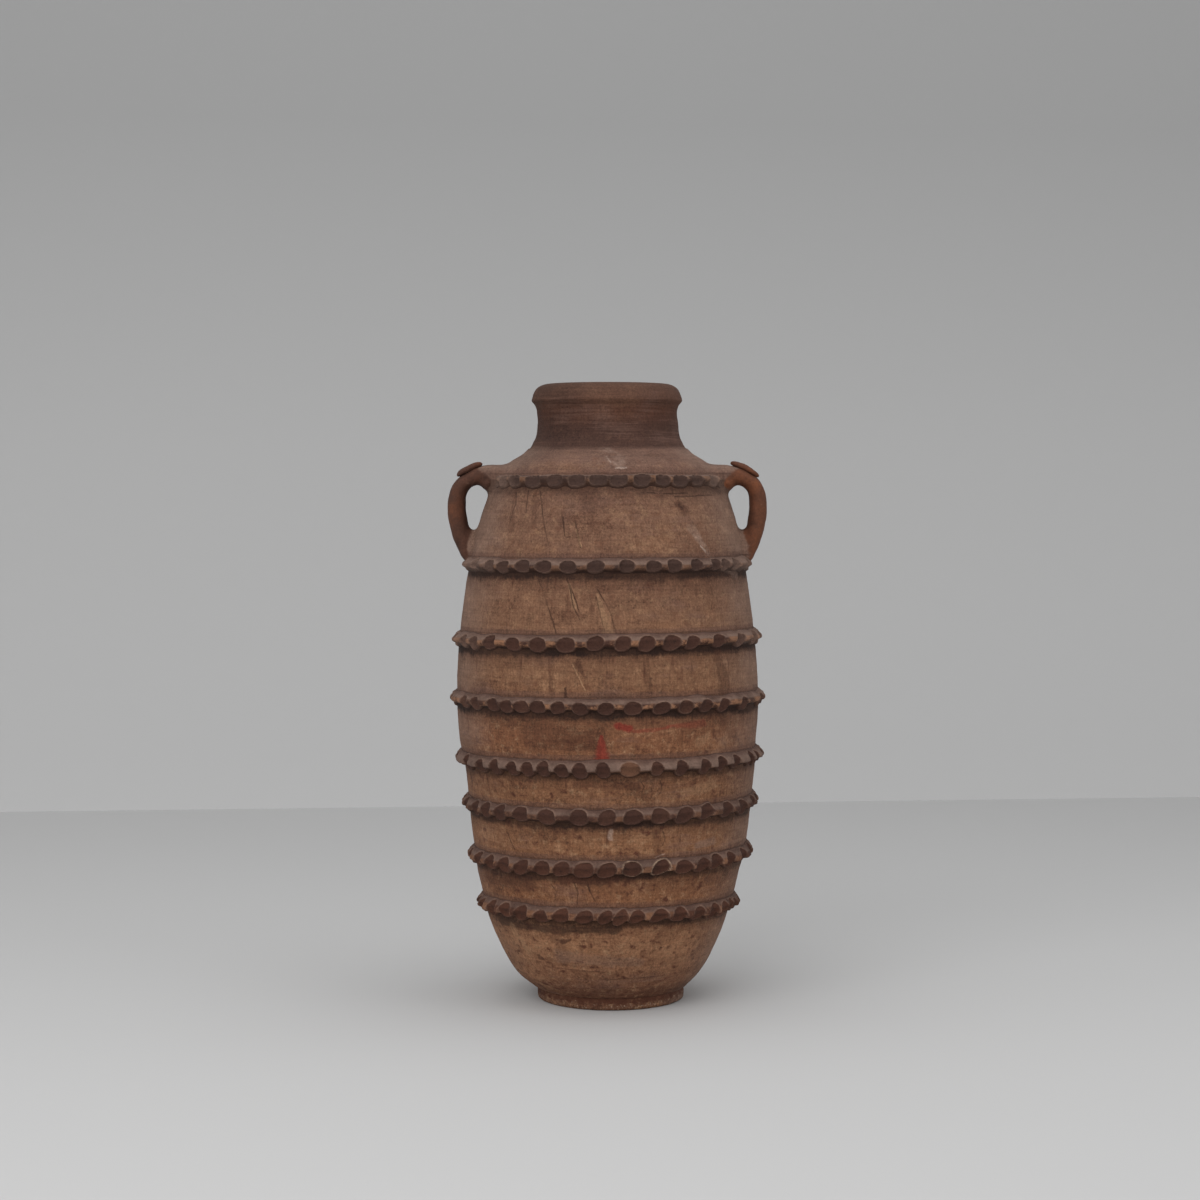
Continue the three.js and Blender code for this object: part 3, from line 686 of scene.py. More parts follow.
def bandColours(spot):
    graph = spot.graph

    def stored(name):
        return graph.parts(graph.node("ShaderNodeAttribute", {"attribute_name": name}, {}, "Vector"))

    pressed, ledge, crest = stored("press")
    edge, tone, lobe = stored("edges")
    stand, dark, _ = stored("stand")
    patch = spot.noise(14, 9, detail=5, rough=0.65, seed=21)
    broad = spot.noise(50, seed=22)
    smudge = spot.noise(7, 4, detail=3, rough=0.6, seed=25)
    grain = spot.noise(2.4, detail=3, rough=0.8, seed=23)
    wipe = spot.noise(40, 1.9, rough=0.6, seed=24)

    printed = Coat(graph, bandPaint, "print")
    printed.lay("highPrint", spot.up.rise(0.42, 0.52))
    printed.lay("lowPrint", spot.up.rise(0.2, 0.15))
    printed.lay("worn", (tone + patch * 0.25 + broad * 0.1).rise(0.6, 2.1))
    # the band's sides: painted shade under the ridge over dark slip, as dark as the band's dark value
    coat = Coat(graph, bandPaint, "side")
    coat.lay("under", (dark + patch * 0.12).clipped())
    coat.lay(printed.colour, (lobe * (1.1 + patch * 0.4)).clipped())
    top = Coat(graph, bandPaint, "ledgeTop")
    low = (0.6 + spot.up.rise(0.15, 0.4) * 0.4 + smudge * 0.2).clipped()
    top.lay("ledge", (stand + patch * 1.2).rise(1.5, 6.5) * low)
    coat.lay(top.colour, (ledge * (1.0 + patch * 0.3 + broad * 0.15)).clipped())
    coat.lay("crest", crest * (patch * 1.8 + broad + grain * 0.4).rise(-0.7, 0.7))
    # painted shade inside the prints, more where their surface stands further out
    printed.lay("deepPrint", (smudge + (stand - 5) * 0.12).rise(0.0, 1.0) * 0.6)
    coat.lay(printed.colour, pressed)
    # pale rims round the prints: partly painted highlight where the edges catch light, partly the pale clay of
    # chalky prints
    white = tone.rise(-2.0, -2.4)
    rim = graph.blend(bandPaint["edge"], bandPaint["chip"], white)
    litRimAndChalkShare = (patch + 0.25).rise(-0.7, 0.8) * 0.55 + white * 0.35 * smudge.rise(-0.1, 0.6)
    coat.lay(rim, edge * litRimAndChalkShare.least(0.9))
    # the bands greyer towards the left and right sides: partly dust, partly painted sheen where the light grazes
    far = (abs(spot.sine) + patch * 0.06).rise(0.7, 1.0) * spot.up.rise(0.3, 0.45) * 0.5
    coat.lay(wallPaint["dust"], far)
    # painted shade in the crease where the band meets the wall
    crease = 1 - (stand + patch * 0.2).rise(0.1, 1.1)
    coat.lay("under", crease * 0.6)
    chips = (grain * 0.7 + patch * 0.6).rise(0.95, 1.2) * (crest + edge).least(1)
    coat.lay("chip", chips * 0.7)
    bright = 1 + patch * 0.12 + grain * 0.22 + wipe * 0.09 + tone * 0.06
    bump = patch * 0.16 + grain * 0.1 + wipe * 0.06 + chips * 0.2
    return coat.lit(bright), bump, 0.84 + patch * 0.03


handlePaint = paints(
    base=(78, 51, 40), red=(110, 65, 42), dark=(54, 34, 26), dust=(108, 86, 76), speck=(188, 170, 154),
)


def handleLook(spot):
    patch = spot.noise(16, detail=5, rough=0.65, seed=31)
    broad = spot.noise(45, seed=32)
    grain = spot.noise(2.4, detail=3, rough=0.8, seed=33)
    pit = spot.noise(4.4, detail=3, rough=0.7, seed=35)
    coat = Coat(spot.graph, handlePaint, "base")
    # redder and lighter towards the right: partly the clay's tone, partly painted light from the right
    coat.lay("red", (broad + patch * 0.6).rise(-0.2, 1.2) * 0.6 + spot.sine.rise(-0.3, 0.3) * 0.4)
    coat.lay("dark", (broad + patch).rise(-0.3, -1.4) * 0.7)
    coat.lay("dust", (patch - broad * 0.5).rise(0.5, 1.4) * 0.4)
    coat.lay("speck", pit.rise(1.0, 1.2) * 0.7)
    return coat.lit(1 + patch * 0.14 + grain * 0.24), patch * 0.22 + grain * 0.12, 0.88 + patch * 0.03


def handleColours(spot):
    graph = spot.graph
    arm = graph.node("ShaderNodeAttribute", {"attribute_name": "arm"}, {}, "Fac")
    share = (arm + spot.noise(16, detail=3, seed=34) * 0.35).rise(0.3, 0.7)
    wallColour, wallBump, _ = wallLook(spot, marked=False)
    armColour, armBump, rough = handleLook(spot)
    return graph.blend(wallColour, armColour, share), wallBump + (armBump - wallBump) * share, rough


def newMaterial(name, look, noiseGain=1):
    # look gives the shader's inputs
    material = bpy.data.materials.new(name)
    material.use_nodes = True
    material.node_tree.nodes.clear()
    graph = Graph(material.node_tree, noiseGain)
    shader = graph.node("ShaderNodeBsdfPrincipled", {}, look(graph), "BSDF")
    end = graph.tree.nodes.new("ShaderNodeOutputMaterial")
    graph.tree.links.new(shader.socket, end.inputs["Surface"])
    return material


def clay(name, look):
    def inputs(graph):
        colour, bump, rough = look(Spot(graph))
        normal = graph.node("ShaderNodeBump", {}, {"Strength": 1, "Distance": mm, "Height": bump}, "Normal")
        return {"Base Color": colour, "Roughness": rough, "Normal": normal, "Specular IOR Level": 0.25}

    return newMaterial(name, inputs, noiseGain=2.2)


wallClay = clay("wallClay", wallLook)
neckClay = clay("neckClay", lambda spot: wallLook(spot, marked=False))
footClay = clay("footClay", footLook)
bandClay = clay("bandClay", bandColours)
handleClay = clay("handleClay", handleColours)
buttonClay = clay("buttonClay", handleLook)
print("clays mixed")


jarPieces = {}


def finishPiece(piece, node):
    jarPieces[node] = piece
    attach(piece, "root")
    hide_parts(node)


# Turned pieces, from the ground up
walls = {"Steps around": 640, "Ripple height": 0.45 * mm, "Ripple spacing": 13 * mm, "Grit": 0.12 * mm}
rowSpacing = {"outside": 1.7 * mm, "inside": 7 * mm}
footStep = 0.7 * mm
turned = turnedTree()
rings = {
    "bowlWall": "bowl_ring",
    "lowerBellyWall": "lower_belly_ring",
    "middleBellyWall": "middle_belly_ring",
    "upperBellyWall": "upper_belly_ring",
    "shoulderWall": "shoulder_ring",
}
ringSeams = [body["footTall"], *[heightOf(bands[i]["up"]) for i in (7, 5, 3, 1)], heightOf(1)]


def turnedPiece(name, node, corners, sizes):
    # corners: the radius and height of the outline's points
    outline = pointsMesh(name, [(radius, 0, height) for radius, height in corners])
    finishPiece(grown(name, outline, turned, {**walls, **sizes}), node)


for (name, node), low, high in zip(rings.items(), ringSeams, ringSeams[1:]):
    up = heights(low, high, rowSpacing["outside"])
    outside = list(zip(wallRadius(up), up))
    if low == body["footTall"]:
        outside[:1] = [(outside[0][0] - footStep, low)]
    down = heights(low, high, rowSpacing["inside"])[::-1]
    inside = list(zip(innerRadius(down), down))
    turnedPiece(name, node, outside + inside + outside[:1], {"Clay": wallClay})

baseDisc = {
    # the edge's radius and height, and the radii of the rows under it and on its floor, in mm
    "outline": [(78, 0), (81.6, 0.3), (83.2, 1.3), (83.9, 3), (84.2, 6), (84.3, 9), (84.3, 12), (84.2, 14)],
    "under": [0, 30, 55],
    "floor": [60, 30, 0],
}
edge = [(radius * mm, 0) for radius in baseDisc["under"]]
edge += [(radius * mm, height * mm) for radius, height in baseDisc["outline"]]
edge += [(radius * mm, body["footTall"]) for radius in baseDisc["floor"]]
sizes = {"Steps around": 400, "Grit": 0.5 * mm, "Clay": footClay}
turnedPiece("footDisc", "base_disc", edge, sizes)

# The neck and the lip, as height and radius in mm
neck = {
    "outside": [(627, 88.4), (628.5, 87), (631, 85.4), (635, 83.5), (639, 81.4), (644, 80.1), (655, 78.9),
                (664, 78.5), (671, 79), (675.4, 80.5)],
    "inside": [(675.4, 68.5), (650, 68), (638, 70), (627, 77.5)],
    "lip": [(675.4, 80.5), (678, 82.3), (680.2, 84.2), (681.6, 84.7), (684, 84.1), (688, 82.9), (692, 81.2),
            (695, 79.2), (697.6, 75.8), (699.3, 71.8), (700, 68), (699.4, 65.8), (697.4, 64.4), (694, 63.9),
            (686, 64.8), (675.4, 68.5)],
}
sizes = {"Steps around": 400, "Ripple height": 0.35 * mm, "Ripple spacing": 5 * mm, "Clay": neckClay}
corners = curveThrough(neck["outside"], 1.2 * mm) + curveThrough(neck["inside"], 4 * mm)
turnedPiece("neckWall", "neck_ring", corners + corners[:1], sizes)
corners = curveThrough(neck["lip"], 1.1 * mm)
turnedPiece("lipCoil", "lip_coil", corners + corners[:1], sizes)
print("walls, neck and lip turned")


# Finger-pressed bands
def bandTree():
    lengths = (
        "Row height", "Top edge", "Middle turn", "Half sweep", "Taper", "Height", "Right up", "Front up",
        "Wall radius", "Wall slope", "Wall bend", "Proud", "Ledge", "Bare", "Dusty", "Dark",
    )
    others = {"Columns": "Int", "Rows": "Int", "Closed": "Bool", "Clay": "Material"}
    graph = shapeTree("pressedBand", {**dict.fromkeys(lengths, "Float"), **others})
    given = graph.given
    prints, rows, columns = given["Geometry"], given["Rows"], given["Columns"]
    grid = graph.node("GeometryNodeMeshGrid", {}, {"Vertices X": columns + 1, "Vertices Y": rows + 3})
    index = graph.node("GeometryNodeInputIndex")
    row = (index % (rows + 3)) % (rows + 2)
    column = (index / (rows + 3)).floor()
    column = column - columns * given["Closed"] * column.within(columns, 0.5)
    angle = given["Middle turn"] + (column / columns * 2 - 1) * given["Half sweep"]
    front = 1 - (row > rows - 0.5)
    lastRow = row > rows + 0.5
    level = row.least(rows - 1) * (1 - lastRow)
    up = given["Top edge"] - level * given["Row height"]

    # the wall behind the band, and the way out of it
    middle = given["Height"] + given["Right up"] * sine(angle) + given["Front up"] * cosine(angle)
    tilt = 1 / (given["Wall slope"] * given["Wall slope"] + 1) ** 0.5
    height = middle + up * tilt
    offset = height - given["Height"]
    radius = given["Wall radius"] + offset * given["Wall slope"] + offset * offset * given["Wall bend"]
    slope = given["Wall slope"] + offset * given["Wall bend"] * 2
    swell, spot = surfaceSwell(graph, angle, radius, height)

    # the nearest print
    arc = angle * given["Wall radius"]
    blur = graph.noise(spot, 11 * mm, seed=5) * (1.1 * mm)
    other = graph.noise(spot, 9 * mm, seed=6) * (0.9 * mm)
    probe = graph.vector(arc + blur, 0, 0)
    nearest = graph.node("GeometryNodeSampleNearest", {"domain": "POINT"}, {0: prints, 1: probe})
    roundness = bandLook["roundness"]

    def fromPrint(name):
        stored = graph.node("GeometryNodeInputNamedAttribute", {"data_type": "FLOAT_VECTOR"}, {"Name": name})
        return graph.sampled(prints, stored, nearest)

    printArc, _, _ = graph.sampled(prints, graph.node("GeometryNodeInputPosition"), nearest)
    halfWide, halfTall, deep = fromPrint("size")
    printUp, slant, tone = fromPrint("place")
    wander = graph.noise(spot, 38 * mm, seed=7) * (2.2 * mm)
    along = arc + blur - printArc
    rowUp = up + wander
    over = (rowUp + other - printUp - slant * along) / halfTall
    aside = along / halfWide
    away = ((abs(aside) ** roundness) + (abs(over) ** roundness)) ** (1 / roundness)

    # a ridge with a sloping ledge on top and an undercut below
    proud = given["Proud"] * (1 + graph.noise(spot, 40 * mm, detail=1, seed=8) * 0.12)
    reaching = given["Ledge"] * (1 + graph.noise(spot, 26 * mm, seed=10) * 0.3)
    onLedge = 1 - (rowUp / reaching).clipped()
    ledgeHeight = proud * onLedge ** 0.9
    under = (rowUp + other * 0.6).rise(-6.6 * mm, -3.2 * mm)
    ridge = ledgeHeight * (under * 0.8 + (rowUp + other * 2).rise(-10.5 * mm, -4 * mm) * 0.2)
    lobeTop = (proud * (0.74 + over * 0.26)).least(ledgeHeight + 3.5 * mm)
    lobe = lobeTop * (1 - away.rise(1.0, 1.2))
    clayHeight = ridge.most(lobe)
    rim = lobeTop.least(ledgeHeight + 0.2 * mm)
    dish = (rim - deep * (1 - away.least(1) ** 3.2)).most(bandLook["thinnest"])
    inside = 1 - (away > 1)
    pressed = clayHeight + (clayHeight.least(dish) - clayHeight) * inside
    lip = ((away - 1.0) / 0.1) ** 2
    squeezed = (1 - lip.least(1)) * (-over).rise(0.2, 0.9) * (0.6 * mm)
    rough = graph.noise(spot, 4.5 * mm, detail=3, rough=0.6, seed=9) * (0.35 * mm)
    fromEnd = (given["Half sweep"] - abs(angle - given["Middle turn"])) / given["Taper"]
    thinned = fromEnd.rise(0, 1) * (1 - given["Closed"]) + given["Closed"]
    sunk = bandLook["sunk"]
    proudOf = (pressed + squeezed) * thinned + rough * clayHeight.rise(0, 2 * mm) - sunk
    soft = graph.node("GeometryNodeBlurAttribute", {"data_type": "FLOAT"}, {"Value": proudOf, "Iterations": 1})
    proudOf = soft * front + (-bandLook["backSunk"]) * (1 - front)

    outward = 1 / (slope * slope + 1) ** 0.5
    out = radius + swell + proudOf * outward
    shapedUp = height - proudOf * outward * slope

    # what the clay's colours need to know
    inDish = 1 - away.rise(0.95, 1.0)
    dustFrom = rowUp + given["Dusty"] * (5.5 * mm)
    onTop = dustFrom.rise(0, 2.2 * mm) * (1 - inDish)
    onCrest = rowUp.rise(-5.8 * mm, -4 * mm) * (1 - dustFrom.rise(0, 2 * mm)) * (1 - inDish) * given["Bare"]
    atEdge = away.rise(0.9, 0.99) * (1 - away.rise(1.02, 1.13)) * (over.rise(-0.2, 0.6) * 0.5 + 0.5)
    onLobe = (1 - away.rise(1.02, 1.2)).most(rowUp.rise(-6 * mm, -4.5 * mm))
    masks = {
        "press": (inDish, onTop, onCrest),
        "edges": (atEdge, tone, onLobe),
        "stand": (proudOf / mm, given["Dark"], 0),
    }
    shape = grid
    for name, values in masks.items():
        settings = {"data_type": "FLOAT_VECTOR", "domain": "POINT"}
        inputs = {"Geometry": shape, "Name": name, "Value": graph.vector(*values)}
        shape = graph.node("GeometryNodeStoreNamedAttribute", settings, inputs)
    return finishTree(graph, shape, angle, out, shapedUp)


def printTurns(band, radius):
    # the prints that the photograph shows, then the ones round the back at the same spacing
    onBand = (radius + bandLook["proud"] / 2, heightOf(band["up"]))
    front = [turnSeen(pixel, *onBand) for pixel in band["seen"]]
    gap = tau - (front[-1] - front[0])
    count = max(1, round(gap / (tau / band["prints"])) - 1)
    step = gap / (count + 1)
    back = [front[-1] + step * (i + 1 + 0.16 * math.sin(2.4 * i + band["prints"])) for i in range(count)]
    return front + [(turn + math.pi) % tau - math.pi for turn in back]


def printPoints(band, radius):
    random = np.random.default_rng(band["prints"] * 10 + len(band["seen"]))

    def drawn(name):
        return random.uniform(*bandLook[name])

    turns = printTurns(band, radius)
    shown = dict(zip(turns, band["seen"]))
    points, size, place = [], [], []
    ordered = np.sort(turns)
    gaps = np.diff(np.concatenate([ordered, ordered[:1] + tau])) * radius / mm
    for turn in turns:
        i = int(np.searchsorted(ordered, turn))
        spacing = min(gaps[i - 1], gaps[i % len(gaps)])
        halfWide = min(band["half"][0] * drawn("wide"), spacing * drawn("ofSpacing"))
        halfTall = band["half"][1] * drawn("tall")
        deep, lean, tone = drawn("deep"), random.uniform(*band["lean"]), random.uniform(-1, 1)
        pixel = shown.get(turn)
        if (band["name"], pixel) in bandLook["worn"]:
            halfWide, deep, tone = halfWide * 1.5, 3.0, 2.2
        if (band["name"], pixel) in bandLook["chalky"]:
            tone = -2.5
        printUp = band["printUp"] + drawn("up")
        for lap in (-tau, 0, tau):
            points.append(((turn + lap) * radius, 0, 0))
            size.append((halfWide * mm, halfTall * mm, deep * mm))
            place.append((printUp * mm, lean, tone))
    return pointsMesh(band["name"], points, size=size, place=place)


pressed = bandTree()


def bandRing(name, node, band, middleTurn, halfSweep, closed):
    height = heightOf(band["up"]) + bandLook["crestUp"]
    reach = 20 * mm
    low, mid, high = (float(wallRadius(height + step)) for step in (-reach, 0, reach))
    rowHeight = bandLook["rowHeight"]
    sizes = {
        "Columns": int(round(2 * halfSweep * mid / mm)),
        "Rows": int(round((bandLook["above"] + bandLook["below"]) / rowHeight)) + 1,
        "Row height": rowHeight, "Top edge": bandLook["above"], "Height": height,
        "Middle turn": middleTurn, "Half sweep": halfSweep, "Closed": closed,
        "Taper": math.radians(bandLook["taper"]),
        "Right up": band["rightUp"] * mm, "Front up": band["frontUp"] * mm,
        "Wall radius": mid,
        "Wall slope": (high - low) / (2 * reach),
        "Wall bend": (high + low - 2 * mid) / (2 * reach * reach),
        "Proud": bandLook["proud"] * band["thick"] + bandLook["sunk"], "Ledge": band["ledge"] * mm,
        "Bare": band["bare"], "Dusty": band["dusty"], "Dark": band["dark"], "Clay": bandClay,
    }
    finishPiece(grown(name, printPoints(band, mid), pressed, sizes, sharpAngle=60), node)


halfSweep = math.radians(bandLook["topHalfSweep"])
bandRing("pressedBand1Front", "band_1_front", bands[0], 0.0, halfSweep, False)
bandRing("pressedBand1Back", "band_1_back", bands[0], math.pi, halfSweep, False)
for place, band in enumerate(bands[1:], 2):
    bandRing(f"pressedBand{place}", band["name"], band, 0.0, math.pi, True)
print("bands pressed")


# Handles: an arm swept out of the shoulder and back to the wall, smeared on at both ends
handle = {
    # the arm's middle, out from the jar's axis and up, its thickness and its width, in mm from root to tail
    "path": [(104, 598, 22, 74), (122, 598, 22, 62), (138, 597.3, 21.5, 50), (150, 595.3, 19, 42),
             (158.5, 591.3, 17.5, 38), (165.3, 585.5, 18.2, 36), (170, 576, 18.7, 35), (171.6, 564, 20.4, 35),
             (171, 552, 20.8, 35), (168.8, 540, 20.4, 35), (165.4, 527.5, 20.4, 36), (161, 517, 20.6, 38),
             (156, 506.5, 20, 41), (146.5, 497, 13, 43)],
    # knobs of clay that fill the corners: middle out and up, and half sizes out, across and up
    "fills": [(134, 588, 9.5, 27, 9.5), (154, 523, 9, 17, 12), (157, 512, 9, 20, 12)],
    "root": {"low": 556, "high": 626, "halfTurn": 26},
    "tail": {"low": 497, "high": 552, "halfTurn": 15},
    # how deep the pads' backs lie in the wall, how deep their border, and how far in mm they rise in the middle
    "padBack": 6 * mm, "padBorder": 0.8 * mm, "padRise": 1.1,
    "voxel": 1.3 * mm,
    # how often the clay is rubbed, how many times all of it, and how much clay outside the hollows moves later
    "rubs": 90, "fullRubs": 4, "laterShare": 0.04,
    # how deep in the wall the clay may lie
    "kept": 4 * mm,
    "lumps": [(30 * mm, 0.8 * mm), (11 * mm, 0.45 * mm), (4.5 * mm, 0.16 * mm)],
}


def outerWall():
    # finds the radius of the finished wall at an angle and a height
    points, faces = [], []
    for name in ("upper_belly_ring", "shoulder_ring"):
        mesh = jarPieces[name].data
        first = len(points)
        points += [vertex.co.copy() for vertex in mesh.vertices]
        faces += [[first + corner for corner in face.vertices] for face in mesh.polygons]
    tree = BVHTree.FromPolygons(points, faces)
    far = 0.4

    def radiusAt(angle, height):
        way = Vector((math.sin(angle), -math.cos(angle), 0))
        hit = tree.ray_cast(way * far + Vector((0, 0, height)), -way)[3]
        return far - hit if hit else float(wallRadius(height))

    return radiusAt


wallAt = outerWall()


def tubeFaces(rows, corners):
    # the faces between rows of points that each go round once
    faces = []
    for row in range(rows - 1):
        for corner in range(corners):
            a, b = row * corners + corner, row * corners + (corner + 1) % corners
            faces.append((a, b, b + corners, a + corners))
    return faces


def sweptArm(rows=70, corners=28):
    line = smoothThrough(np.array(handle["path"]) * mm, lambda whole: np.linspace(0, whole, rows))
    ahead = np.gradient(line[:, :2], axis=0)
    ahead /= np.hypot(*ahead.T)[:, None]
    points = []
    for (x, z, thick, wide), (dx, dz) in zip(line, ahead):
        for corner in range(corners):
            turn = corner / corners * tau
            out = thick / 2 * math.copysign(abs(math.cos(turn)) ** 0.85, math.cos(turn))
            across = wide / 2 * math.copysign(abs(math.sin(turn)) ** 0.85, math.sin(turn))
            points.append((x - dz * out, across, z + dx * out))
    ends = [tuple(range(corners))[::-1], tuple(range((rows - 1) * corners, rows * corners))]
    return points, tubeFaces(rows, corners) + ends


def wallPad(zone, side, columns=60, rows=40):
    # a thin pad of the wall itself, fading below its surface at the border
    points, faces = [], []
    for back in (False, True):
        for column in range(columns + 1):
            for row in range(rows + 1):
                across, up = column / columns * 2 - 1, row / rows * 2 - 1
                angle = side * math.pi / 2 + math.radians(zone["halfTurn"]) * across
                height = (zone["low"] + (zone["high"] - zone["low"]) * row / rows) * mm
                border = 1 - rise(math.hypot(across, up), 0.55, 1.0)
                swell = border * handle["padRise"] * mm - handle["padBorder"]
                radius = wallAt(angle, height) + (-handle["padBack"] if back else swell)
                points.append((radius * math.sin(angle), -radius * math.cos(angle), height))
    size = (columns + 1) * (rows + 1)
    for column in range(columns):
        for row in range(rows):
            a = column * (rows + 1) + row
            b = a + rows + 1
            faces.append((a, a + 1, b + 1, b))
            faces.append((size + a, size + b, size + b + 1, size + a + 1))
    rim = list(range(rows + 1))
    rim += [column * (rows + 1) + rows for column in range(1, columns + 1)]
    rim += [columns * (rows + 1) + row for row in range(rows - 1, -1, -1)]
    rim += [column * (rows + 1) for column in range(columns - 1, 0, -1)]
    for a, b in zip(rim, rim[1:] + rim[:1]):
        faces.append((a, size + a, size + b, b))
    return points, faces


def knob(fill, side, steps=24):
    out, up, halfOut, halfAcross, halfUp = fill
    points = []
    for row in range(steps + 1):
        for column in range(steps):
            polar, turn = row / steps * math.pi, column / steps * tau
            x = (out + halfOut * math.sin(polar) * math.cos(turn)) * mm * side
            y = halfAcross * math.sin(polar) * math.sin(turn) * mm
            points.append((x, y, (up + halfUp * math.cos(polar)) * mm))
    return points, tubeFaces(steps + 1, steps)


def joined(name, parts):
    points, faces = [], []
    for somePoints, someFaces in parts:
        first = len(points)
        points += somePoints
        faces += [tuple(first + corner for corner in face) for face in someFaces]
    mesh = bpy.data.meshes.new(name)
    mesh.from_pydata(points, [], faces)
    shape = bmesh.new()
    shape.from_mesh(mesh)
    bmesh.ops.remove_doubles(shape, verts=shape.verts, dist=0.02 * mm)
    bmesh.ops.recalc_face_normals(shape, faces=shape.faces)
    shape.to_mesh(mesh)
    shape.free()
    return mesh


def lumpy(points, lumps, seed):
    # how far noise pushes each point out
    move = np.zeros(len(points))
    for size, height in lumps:
        move += [height * noise.noise(Vector(point) / size + Vector((seed, 0, seed))) for point in points]
    return move


def read(items, label, kind, width):
    # one value of every item, as the rows of an array
    values = np.empty(len(items) * width, kind)
    items.foreach_get(label, values)
    return values.reshape(-1, width)


def normalsOf(mesh):
    return read(mesh.vertex_normals, "vector", np.float32, 3)


def moveTo(mesh, points):
    mesh.vertices.foreach_set("co", points.astype(np.float32).ravel())
    mesh.update()


def fromWall(points):
    # how far points are outside the wall
    angle = np.arctan2(points[:, 0], -points[:, 1])
    return np.hypot(points[:, 0], points[:, 1]) - wallRadius(points[:, 2]) - unevenAt(angle, points[:, 2])


def handlePiece(name, node, side, seed):
    arm, faces = sweptArm()
    arm = [(x * side, y, z) for x, y, z in arm]
    pads = [wallPad(handle["root"], side), wallPad(handle["tail"], side)]
    knobs = [knob(fill, side) for fill in handle["fills"]]
    piece = placed(name, joined(name, [(arm, faces), *pads, *knobs]))
    modifier = piece.modifiers.new("clay", "REMESH")
    modifier.mode = "VOXEL"
    modifier.voxel_size = handle["voxel"]
    mesh = applied(piece, modifier)
    points = read(mesh.vertices, "co", np.float32, 3).astype(float)
    edges = read(mesh.edges, "vertices", np.int32, 2)
    degree = np.bincount(edges.ravel(), minlength=len(points))[:, None]

    # rub the clay smooth: hollows near the wall fill up, everything else hardly moves
    near = 1 - rise(fromWall(points), 8 * mm, 26 * mm)
    for lap in range(handle["rubs"]):
        total = np.zeros_like(points)
        np.add.at(total, edges[:, 0], points[edges[:, 1]])
        np.add.at(total, edges[:, 1], points[edges[:, 0]])
        move = total / degree - points
        hollow = rise(np.sum(move * normalsOf(mesh), axis=1), 0, 0.02 * mm)
        share = np.maximum(near * hollow, 1.0 if lap < handle["fullRubs"] else handle["laterShare"])
        points += move * (0.6 * share)[:, None]
        moveTo(mesh, points)
    out = fromWall(points)
    points += normalsOf(mesh) * (lumpy(points, handle["lumps"], seed) * rise(out, 1 * mm, 8 * mm))[:, None]
    # what lies deeper in the wall than is kept moves out to there
    deep = np.clip(-handle["kept"] - fromWall(points), 0, None)
    points[:, :2] *= (1 + deep / np.hypot(points[:, 0], points[:, 1]))[:, None]
    moveTo(mesh, points)

    # where the arm's own clay shows, and where the wall's does
    upper = rise(points[:, 2], 0.56, 0.60)
    slanting = rise(out - (points[:, 2] - 0.597) * 1.6, 9 * mm, 26 * mm) * rise(out, 0.5 * mm, 5 * mm)
    tail = rise(out, 0.5 * mm, 12 * mm) * (0.8 + 0.2 * rise(points[:, 2], 0.499, 0.52))
    share = tail * (1 - upper) + slanting * upper
    mesh.attributes.new("arm", "FLOAT", "POINT").data.foreach_set("value", share.astype(np.float32))
    mesh.materials.clear()
    mesh.materials.append(handleClay)
    tidyMesh(mesh, 60)
    finishPiece(piece, node)


handlePiece("rightHandleArm", "right_handle", 1, 3.7)
handlePiece("leftHandleArm", "left_handle", -1, 8.2)
print("handles smeared on")


# Buttons: flat pellets of clay pressed on the bends of the handles
button = {
    "out": 156.8 * mm, "up": 604.6 * mm, "tilt": 26, "long": 16.8 * mm, "wide": 14.8 * mm,
    # radius as a share and height in mm, from the middle of the top to the middle of the underside
    "outline": [(3.7, 0), (3.7, 0.25), (3.5, 0.5), (2.9, 0.74), (2.0, 0.9), (1, 0.98), (0, 1), (-1.2, 0.97),
                (-2.4, 0.87), (-3.3, 0.6), (-3.6, 0.3), (-3.6, 0)],
    "lumps": [(13 * mm, 0.9 * mm), (5 * mm, 0.3 * mm)],
    "columns": 96,
}


def buttonPiece(name, node, side, seed):
    columns = button["columns"]
    # drawn at 16 mm, then stretched to the button's own length and width
    drawn = 16
    line = curveThrough([(up, out * drawn) for up, out in button["outline"]], 0.8 * mm)
    tilt = math.radians(button["tilt"])
    points = []
    for out, up in line:
        for column in range(columns):
            turn = column / columns * tau
            edge = 1 + 0.05 * math.sin(2 * turn + seed) + 0.03 * math.sin(3 * turn + 2 * seed)
            along = out / (drawn * mm) * button["long"] * edge * math.cos(turn)
            across = out / (drawn * mm) * button["wide"] * edge * math.sin(turn)
            bent = up - (along / button["long"]) ** 2 * 1.3 * mm
            x = button["out"] + along * math.cos(tilt) + bent * math.sin(tilt)
            z = button["up"] - along * math.sin(tilt) + bent * math.cos(tilt)
            points.append((x * side, across, z))
    mesh = joined(name, [(points, tubeFaces(len(line), columns))])
    tidyMesh(mesh, 70)
    spots = read(mesh.vertices, "co", np.float32, 3).astype(float)
    moveTo(mesh, spots + normalsOf(mesh) * lumpy(spots, button["lumps"], seed)[:, None])
    mesh.materials.append(buttonClay)
    finishPiece(placed(name, mesh), node)


buttonPiece("rightButtonPellet", "right_button", 1, 1.4)
buttonPiece("leftButtonPellet", "left_button", -1, 4.1)
print("buttons pressed on")


